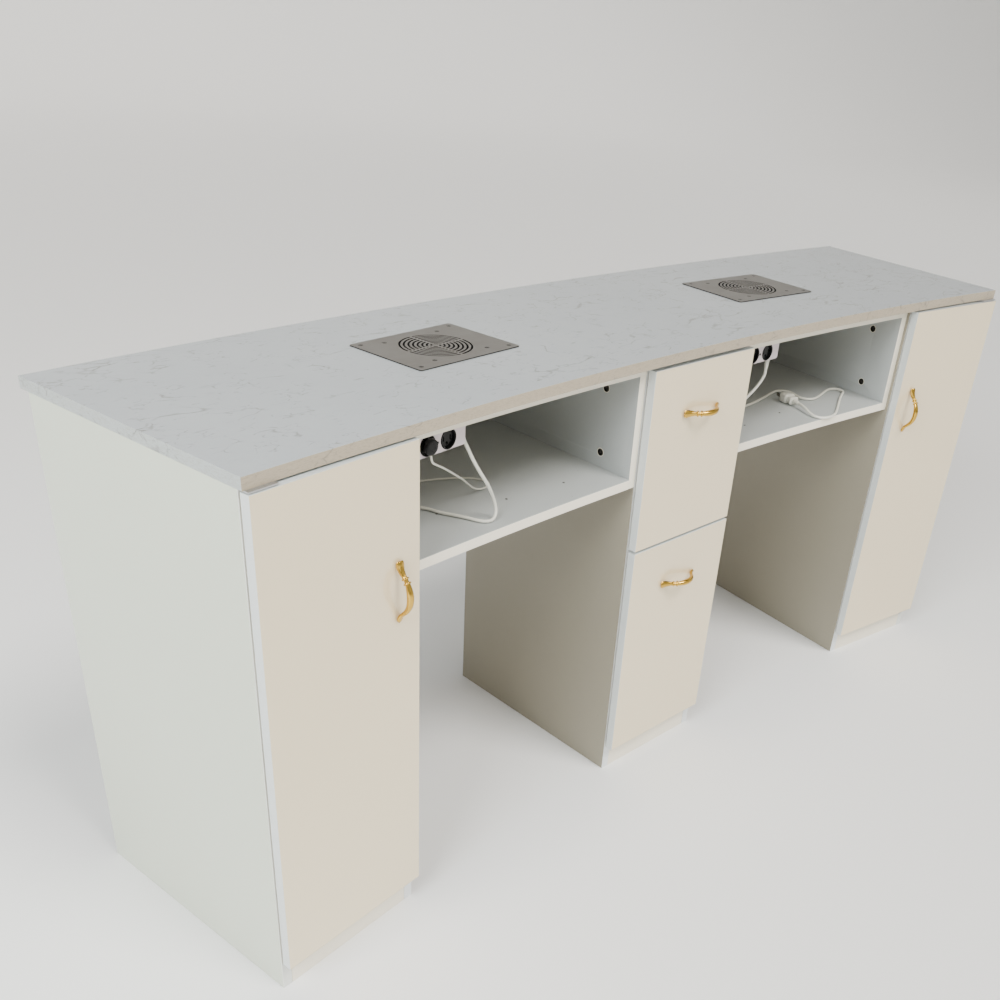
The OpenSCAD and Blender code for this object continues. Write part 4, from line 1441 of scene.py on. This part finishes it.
RIGHT_ROUTE: tuple[Point, ...] = (
    (0.223, 0.022, 0.696), (0.222, 0.022, 0.684), (0.213, 0.024, 0.67), (0.198, 0.025, 0.658),
    (0.181, 0.028, 0.645), (0.167, 0.034, 0.627), (0.157, 0.043, 0.607), (0.152, 0.057, 0.592),
    (0.153, 0.076, 0.5855), (0.161, 0.096, 0.585), (0.178, 0.11, 0.585), (0.202, 0.115, 0.585),
    (0.24, 0.113, 0.585), (0.28, 0.112, 0.585), (0.322, 0.114, 0.585), (0.35, 0.117, 0.585),
    (0.386, 0.124, 0.585), (0.421, 0.132, 0.585), (0.444, 0.1345, 0.585), (0.459, 0.127, 0.585),
    (0.4625, 0.111, 0.585), (0.4555, 0.095, 0.585), (0.452, 0.0795, 0.585), (0.459, 0.068, 0.585),
    (0.474, 0.0635, 0.585), (0.503, 0.0695, 0.585), (0.529, 0.077, 0.585), (0.543, 0.08, 0.585),
    (0.555, 0.08, 0.585), (0.5637, 0.075, 0.585), (0.567, 0.066, 0.585), (0.5644, 0.058, 0.585),
    (0.558, 0.053, 0.585), (0.545, 0.0467, 0.585), (0.518, 0.034, 0.585), (0.476, 0.011, 0.585),
    (0.45, -0.003, 0.585), (0.429, -0.013, 0.585), (0.407, -0.0175, 0.585), (0.388, -0.013, 0.585),
    (0.3805, 0.001, 0.5855), (0.3845, 0.016, 0.5875), (0.3915, 0.03, 0.59), (0.3987, 0.0442, 0.591),
    (0.402, 0.0535, 0.591),
)
FAN_ROUTE: tuple[Point, ...] = (
    (-0.488, 0.256, 0.748), (-0.488, 0.256, 0.69), (-0.488, 0.256, 0.63), (-0.485, 0.25, 0.6),
    (-0.477, 0.236, 0.587), (-0.462, 0.214, 0.584), (-0.44, 0.194, 0.584), (-0.413, 0.18, 0.584),
    (-0.388, 0.171, 0.584), (-0.364, 0.16, 0.584), (-0.346, 0.147, 0.584), (-0.335, 0.135, 0.584),
    (-0.33, 0.122, 0.584), (-0.336, 0.11, 0.584), (-0.35, 0.104, 0.584), (-0.368, 0.1, 0.588),
    (-0.388, 0.09, 0.6), (-0.419, 0.072, 0.624), (-0.455, 0.048, 0.649), (-0.492, 0.027, 0.674),
    (-0.524, 0.005, 0.694), (-0.538, -0.006, 0.703), (-0.546, -0.013, 0.7115),
    (-0.55, -0.0165, 0.72),
)


# ---------------------------------------------------------------- handles, cabinets and drawers


@dataclass
class BowHandle:
    """A cast bow handle: a fluted foot, two beads, a thick bow and a leaf-shaped foot."""

    name: str
    body: str
    at: Matrix
    stations: tuple[tuple[float, float, float, float], ...] = (
        (-44.6, 2.4, 4.6, 2.4), (-43.6, 2.9, 5.9, 2.9), (-41.0, 3.3, 6.4, 3.3),
        (-36.5, 3.9, 6.0, 3.8), (-32.0, 5.6, 5.0, 3.8), (-28.5, 8.1, 4.1, 3.5),
        (-25.5, 10.6, 3.5, 3.2), (-22.0, 13.3, 3.3, 3.1), (-19.0, 15.4, 3.2, 3.1),
        (-15.5, 17.4, 3.7, 3.5), (-10.0, 19.5, 4.3, 4.1), (-3.0, 21.1, 4.8, 4.5),
        (4.0, 21.4, 4.9, 4.5), (11.0, 20.4, 4.7, 4.3), (17.0, 18.2, 4.3, 3.9),
        (22.5, 14.9, 3.9, 3.5), (27.0, 11.0, 3.6, 3.1), (30.5, 7.4, 4.0, 2.8),
        (33.5, 4.7, 4.9, 2.6), (37.0, 2.9, 5.2, 2.4), (40.5, 1.9, 4.3, 1.9), (43.0, 1.3, 2.7, 1.3),
        (44.8, 0.8, 0.9, 0.7),
    )
    beads: tuple[tuple[float, float, float], ...] = ((-23.3, 12.35, 5.0), (-18.0, 16.0, 5.3))
    sides: int = 32
    flutes: int = 9

    def _section(
        self, centre: Vector, along: Vector, wide: float, thick: float, flute: float
    ) -> list[Vector]:
        """One section across the bow.

        Args:
            centre: its middle.
            along: the bow's direction there.
            wide: half its width.
            thick: half its thickness.
            flute: how deep its flutes are, as a share.

        Returns:
            Its points.
        """
        up = Vector((0.0, 0.0, 1.0))
        out = up.cross(along).normalized()
        points = []
        for k in range(self.sides):
            a = math.tau * k / self.sides
            swell = 1.0 - flute * (0.5 - 0.5 * math.cos(self.flutes * a))
            x, y = wide * swell * math.cos(a), thick * swell * math.sin(a)
            points.append(centre + up * x + out * y)
        return points

    def build(self) -> Piece:
        """Makes the handle."""
        shape = Shape()
        fine = smooth_path([Vector((x, lift, 0.0)) for x, lift, _, _ in self.stations], 4)
        sizes = smooth_path([Vector((w, t, 0.0)) for _, _, w, t in self.stations], 4)
        rings = []
        for i, (place, size) in enumerate(zip(fine, sizes)):
            ahead, behind = fine[min(i + 1, len(fine) - 1)], fine[max(i - 1, 0)]
            along = Vector((ahead.x - behind.x, behind.y - ahead.y, 0.0)).normalized()
            flute = 0.13 if place.x < -25.0 else 0.0
            rings.append(
                self._section(Vector((place.x, -place.y, 0.0)), along, size.x, size.y, flute)
            )
        shape.loft(rings, self.at, GOLD)
        for x, lift, radius in self.beads:
            lean = self.at @ turned(x, -lift, 0.0, -38) @ Matrix.Rotation(math.pi / 2, 4, "Y")
            half = ((0.0, 1.5), (0.72, 1.45), (0.93, 0.9))
            bead = [(radius * r, -z) for r, z in half] + [(radius, 0.0)]
            bead += [(radius * r, z) for r, z in reversed(half)]
            shape.lathe(bead, lean, GOLD, 36)
        return shape.stand_in(self.name, self.body, Slot.GOLD, crease=50.0)


@dataclass
class Cabinet:
    """A door cabinet: its boards, door, handle, shelf pins, and the screws of its pivots and catch.
    """

    side: Side
    handle_in: float = 39.0
    handle_z: float = 566.0
    pin_xs: Pair = (-238.0, -16.0)
    pin_ys: Pair = (70.0, 360.0)
    pin_z: float = 377.0

    def build(self) -> list[Piece]:
        """Makes the cabinet's own pieces."""
        name = self.side.value
        front = LEFT_FRONT if self.side is Side.LEFT else RIGHT_FRONT
        door = eased_node(f"{name}_door", front, Slot.FRONT, FRONT_EASE)
        at = wing(self.side) @ turned(-self.handle_in, FRONT_FACE_Y, self.handle_z, 90, "Y")
        handle = BowHandle(f"{name}_door_handle", f"{name}_door", at)
        boards = [
            eased_node(f"{name}_outer_side", SIDE_PANEL, Slot.SIDE, 0.0010),
            eased_node(f"{name}_inner_side", SHADED_KNEE_BOARD, Slot.CARCASS),
            eased_node(f"{name}_cabinet_bottom", CARCASS, Slot.CARCASS),
        ]
        return [door, handle.build(), *boards, self._screws(), self._shelf_pins()]

    def _screws(self) -> Piece:
        """The screws of the pivot brackets and of the catch."""
        shape = Shape()
        at = wing(self.side)
        for number, y in enumerate((8.0, 20.0)):
            below = at @ turned(-222.0, y, 762.0, 180, "X")
            cross_screw(shape, below @ turned(0, 0, 0.6, number * 31), 3.2, 1.2, DARK_SCREW)
        below = at @ turned(-35.0, 10.0, 736.0, 180, "X")
        cross_screw(shape, below @ turned(0, 0, 0.5, 12), 2.6, 1.0, DARK_SCREW)
        return shape.piece(f"{self.side.value}_cabinet_screws", "table", Slot.SCREW)

    def _shelf_pins(self) -> Piece:
        """Four turned steel pins under the cabinet's shelf."""
        shape = Shape()
        profile = [
            (0.0, 0.0), (3.6, 0.0), (3.6, 1.4), (2.4, 1.6), (2.4, 6.4), (2.0, 7.0), (0.0, 7.0)
        ]
        for x, way in zip(self.pin_xs, (90, -90)):
            for y in self.pin_ys:
                pin = wing(self.side) @ turned(x, y, self.pin_z, way, "Y")
                shape.lathe(profile, pin, ZINC, 20)
        return shape.piece(f"{self.side.value}_shelf_pins", "table", Slot.SLIDE)


@dataclass
class Slides:
    """The drawers' three-part slides, each part a folded channel."""

    open_half: float = 108.0
    room: float = 13.0
    clear: float = 0.3
    length: float = 350.0
    start: float = 2.0
    heights: tuple[float, float, float] = (45.0, 34.0, 24.0)
    middles: Pair = (575.0, 228.0)
    gauge: float = 1.1

    def _channel(self, shape: Shape, member: int, middle: float, sign: float) -> None:
        """Adds one channel.

        Args:
            shape: the shape to add it to.
            member: 0 for the rail, 1 for the link and 2 for the runner.
            middle: its height above the floor.
            sign: -1 on the left and 1 on the right.
        """
        step, half, g = self.room / 3, self.heights[member] / 2, self.gauge
        outer = self.open_half - member * step
        deep = step if member == 2 else step - self.clear
        lip = 0.16 * self.heights[member]
        upper = [(0, half), (deep, half), (deep, half - lip), (deep - g, half - lip)]
        upper += [(deep - g, half - g), (g, half - g)]
        profile = [(x, -z) for x, z in upper] + upper[::-1]
        points = [(outer - (x if member == 0 else deep - x), z) for x, z in profile]
        way = MIRROR if sign < 0 else Matrix.Identity(4)
        along = turned(0, self.start, middle, 0) @ Matrix.Rotation(math.pi / 2, 4, "X")
        shape.prism(points, -self.length, 0.0, PEDESTAL @ way @ along, ZINC)

    def build(self) -> list[Piece]:
        """Makes the rails, links and runners."""
        made = []
        parts = (
            ("slide_rails", "table", 0, self.middles),
            ("upper_slide_links", "upper_slide_link", 1, self.middles[:1]),
            ("lower_slide_links", "lower_slide_link", 1, self.middles[1:]),
            ("upper_drawer_runners", "upper_drawer", 2, self.middles[:1]),
            ("lower_drawer_runners", "lower_drawer", 2, self.middles[1:]),
        )
        for name, body, member, middles in parts:
            shape = Shape()
            for middle in middles:
                for sign in (-1.0, 1.0):
                    self._channel(shape, member, middle, sign)
            made.append(shape.stand_in(name, body, Slot.SLIDE, 0.0002))
        return made


@dataclass
class Drawer:
    """A drawer: its lacquered front, its box and its handle."""

    name: str
    handle_z: float

    def build(self) -> list[Piece]:
        """Makes the drawer's pieces."""
        front = eased_node(f"{self.name}_front", FRONT, Slot.FRONT, FRONT_EASE)
        box = eased_node(f"{self.name}_box", DRAWER_BOARD, Slot.DRAWER, 0.0006)
        at = PEDESTAL @ turned(0, FRONT_FACE_Y, self.handle_z, 0)
        return [front, box, BowHandle(f"{self.name}_handle", self.name, at).build()]


@dataclass
class Carcass:
    """The boards that the halves share, the brackets, the catches and the fan lead's grommet."""

    def build(self) -> list[Piece]:
        """Makes the boards."""
        plain = (
            ("pedestal_left_side", SHADED_KNEE_BOARD, Slot.CARCASS),
            ("pedestal_right_side", SHADED_KNEE_BOARD, Slot.CARCASS),
            ("pedestal_bottom", CARCASS, Slot.CARCASS),
            ("cabinet_shelves", CARCASS, Slot.CARCASS),
            ("top_rails", CARCASS, Slot.CARCASS),
            ("plinths", PLINTH, Slot.CARCASS),
            ("pedestal_back", SHADED_BACK_BOARD, Slot.BACK),
            ("cabinet_backs", SHADED_BACK_BOARD, Slot.BACK),
            ("cubby_backs", SHADED_BACK_BOARD, Slot.BACK),
            ("door_pivots", ZINC, Slot.SLIDE),
            ("door_catches", CATCH_PLASTIC, Slot.CATCH),
        )
        made = [eased_node(name, finish, slot, FINE_EASE) for name, finish, slot in plain]
        shape = Shape()
        place = (value / MM for value in FAN_ROUTE[0])
        collar = [
            (1.7, 0.0), (5.4, 0.0), (5.6, -0.5), (5.0, -1.8), (3.6, -2.6), (2.2, -2.8), (1.7, -2.2)
        ]
        shape.lathe(collar, PEDESTAL @ turned(*place, 0), SOCKET_PLASTIC, 32, closed=True)
        return made + [shape.piece("fan_lead_grommet", "table", Slot.SOCKET)]


# ---------------------------------------------------------------- studio


@dataclass
class Studio:
    """The camera, lights and pale floor."""

    camera_at: Point = (-1.354724, -1.184951, 1.226609)
    camera_turn: Point = (58.3714, -3.8308, -43.9712)
    lens: float = 38.459
    shift: Pair = (-0.05155, 0.15182)
    room: float = 13.0
    cove: float = 3.0
    wall: float = 11.5
    key_from: Point = (0.16, -0.66, 0.98)
    key_power: float = 3.1
    key_spread: float = 24.0
    surround: float = 0.11
    facets: int = 72
    cool: Colour = (0.95, 0.985, 0.985)
    warm: Colour = (1.0, 0.93, 0.84)
    white: Colour = (1.0, 0.985, 0.96)

    def camera(self) -> None:
        """Makes the camera at the three-quarter front view."""
        data = bpy.data.cameras.new("camera")
        data.sensor_width, data.lens = 36.0, self.lens
        data.shift_x, data.shift_y = self.shift
        data.clip_end = 200.0
        made = placed("camera", data)
        made.location = self.camera_at
        made.rotation_euler = [math.radians(a) for a in self.camera_turn]
        bpy.context.scene.camera = made

    def _area(
        self, name: str, at: Point, aim: Point, size: Pair, power: float, colour: Colour
    ) -> None:
        """Adds a rectangular soft light.

        Args:
            name: its name.
            at: its place.
            aim: the point that it faces.
            size: its sides, in metres.
            power: its power, in watts.
            colour: its colour.
        """
        data = bpy.data.lights.new(name, "AREA")
        data.shape, data.size, data.size_y = "RECTANGLE", size[0], size[1]
        data.energy, data.color = power, colour
        made = placed(name, data)
        made.location = at
        made.rotation_euler = (Vector(aim) - Vector(at)).to_track_quat("-Z", "Y").to_euler()

    def lights(self) -> None:
        """Makes the broad key light, the soft side lights and the even surround."""
        data = bpy.data.lights.new("key", "SUN")
        data.energy, data.angle = self.key_power, math.radians(self.key_spread)
        data.color = (1.0, 0.965, 0.915)
        made = placed("key", data)
        made.rotation_euler = (-Vector(self.key_from)).to_track_quat("-Z", "Y").to_euler()
        far = (0.0, -self.room, 3.0)
        areas = (
            ("window", (-3.4, -0.9, 2.7), (-0.6, 0.0, 0.5), (2.2, 1.8), 230.0, self.cool),
            ("room", (0.8, -2.8, 3.4), (0.1, 0.0, 0.5), (3.2, 1.6), 18.0, self.warm),
            ("backdrop", (0.0, -3.0, 8.0), far, (14.0, 3.0), 450.0, self.white),
        )
        for area in areas:
            self._area(*area)
        world = bpy.data.worlds.new("surround")
        world.use_nodes = True
        background = world.node_tree.nodes["Background"]
        background.inputs[0].default_value = (0.96, 0.985, 1.0, 1.0)
        background.inputs[1].default_value = self.surround
        bpy.context.scene.world = world

    def floor(self) -> None:
        """Makes the pale floor, which sweeps up into a round backdrop."""
        cove = [(x + self.room - self.cove, z + self.cove) for x, z in arc(self.cove, -90, 0, 12)]
        shape, steps = Shape(), self.facets
        turns = [math.tau * k / steps for k in range(steps)]
        profile = [*cove, (self.room, self.wall)]
        rings = [[(r * math.cos(a), r * math.sin(a), z) for a in turns] for r, z in profile]
        points = [(0.0, 0.0, 0.0)] + [point for line in rings for point in line]
        faces = [(0, 1 + k, 1 + (k + 1) % steps) for k in range(steps)]
        for line in range(len(rings) - 1):
            low, high = 1 + line * steps, 1 + (line + 1) * steps
            faces += [
                (low + k, high + k, high + (k + 1) % steps, low + (k + 1) % steps)
                for k in range(steps)
            ]
        shape.add(points, faces, Matrix.Identity(4), FLOOR)
        data = bpy.data.meshes.new("floor")
        shape.mesh.to_mesh(data)
        shape.mesh.free()
        data.shade_smooth()
        data.materials.append(FLOOR.material())
        made = placed("floor", data)


def main() -> None:
    """Builds the camera and leads first, then every sub-assembly in order."""
    logging.basicConfig(level=logging.INFO, format="%(name)s: %(message)s")
    studio = Studio()
    studio.camera()
    left_plug = MainsPlug(Side.LEFT, (-551.0, 201.0, 591.0), 15.0).build()
    right_plug = MainsPlug(Side.RIGHT, (402.0, 53.5, 591.0), -18.0).build()
    fan_plug = FanPlug().build()
    left_route = (*LEFT_ROUTE, *Coil().points(), *COIL_TAIL[1:])
    leads = (
        (left_plug, 0.005, left_route, Lay.COILED, ("left_lead", "left_lead_coil")),
        (right_plug, 0.005, RIGHT_ROUTE, Lay.LOOSE, ("right_lead",)),
        (fan_plug, 0.003, FAN_ROUTE, Lay.HANGING, ("fan_lead",)),
    )
    for plug, diameter, route, lay, stands_for in leads:
        Lead(stands_for[0] + ".piece", diameter, route, lay, stands_for).build(plug)
    Worktop().build()
    for side in Side:
        VentStation(side).build()
        Cubby(side).build()
        PowerStrip(side).build()
        Cabinet(side).build()
    Carcass().build()
    Slides().build()
    Drawer("upper_drawer", 677.0).build()
    Drawer("lower_drawer", 372.0).build()
    studio.floor()
    studio.lights()


if __name__ == "__main__":
    main()
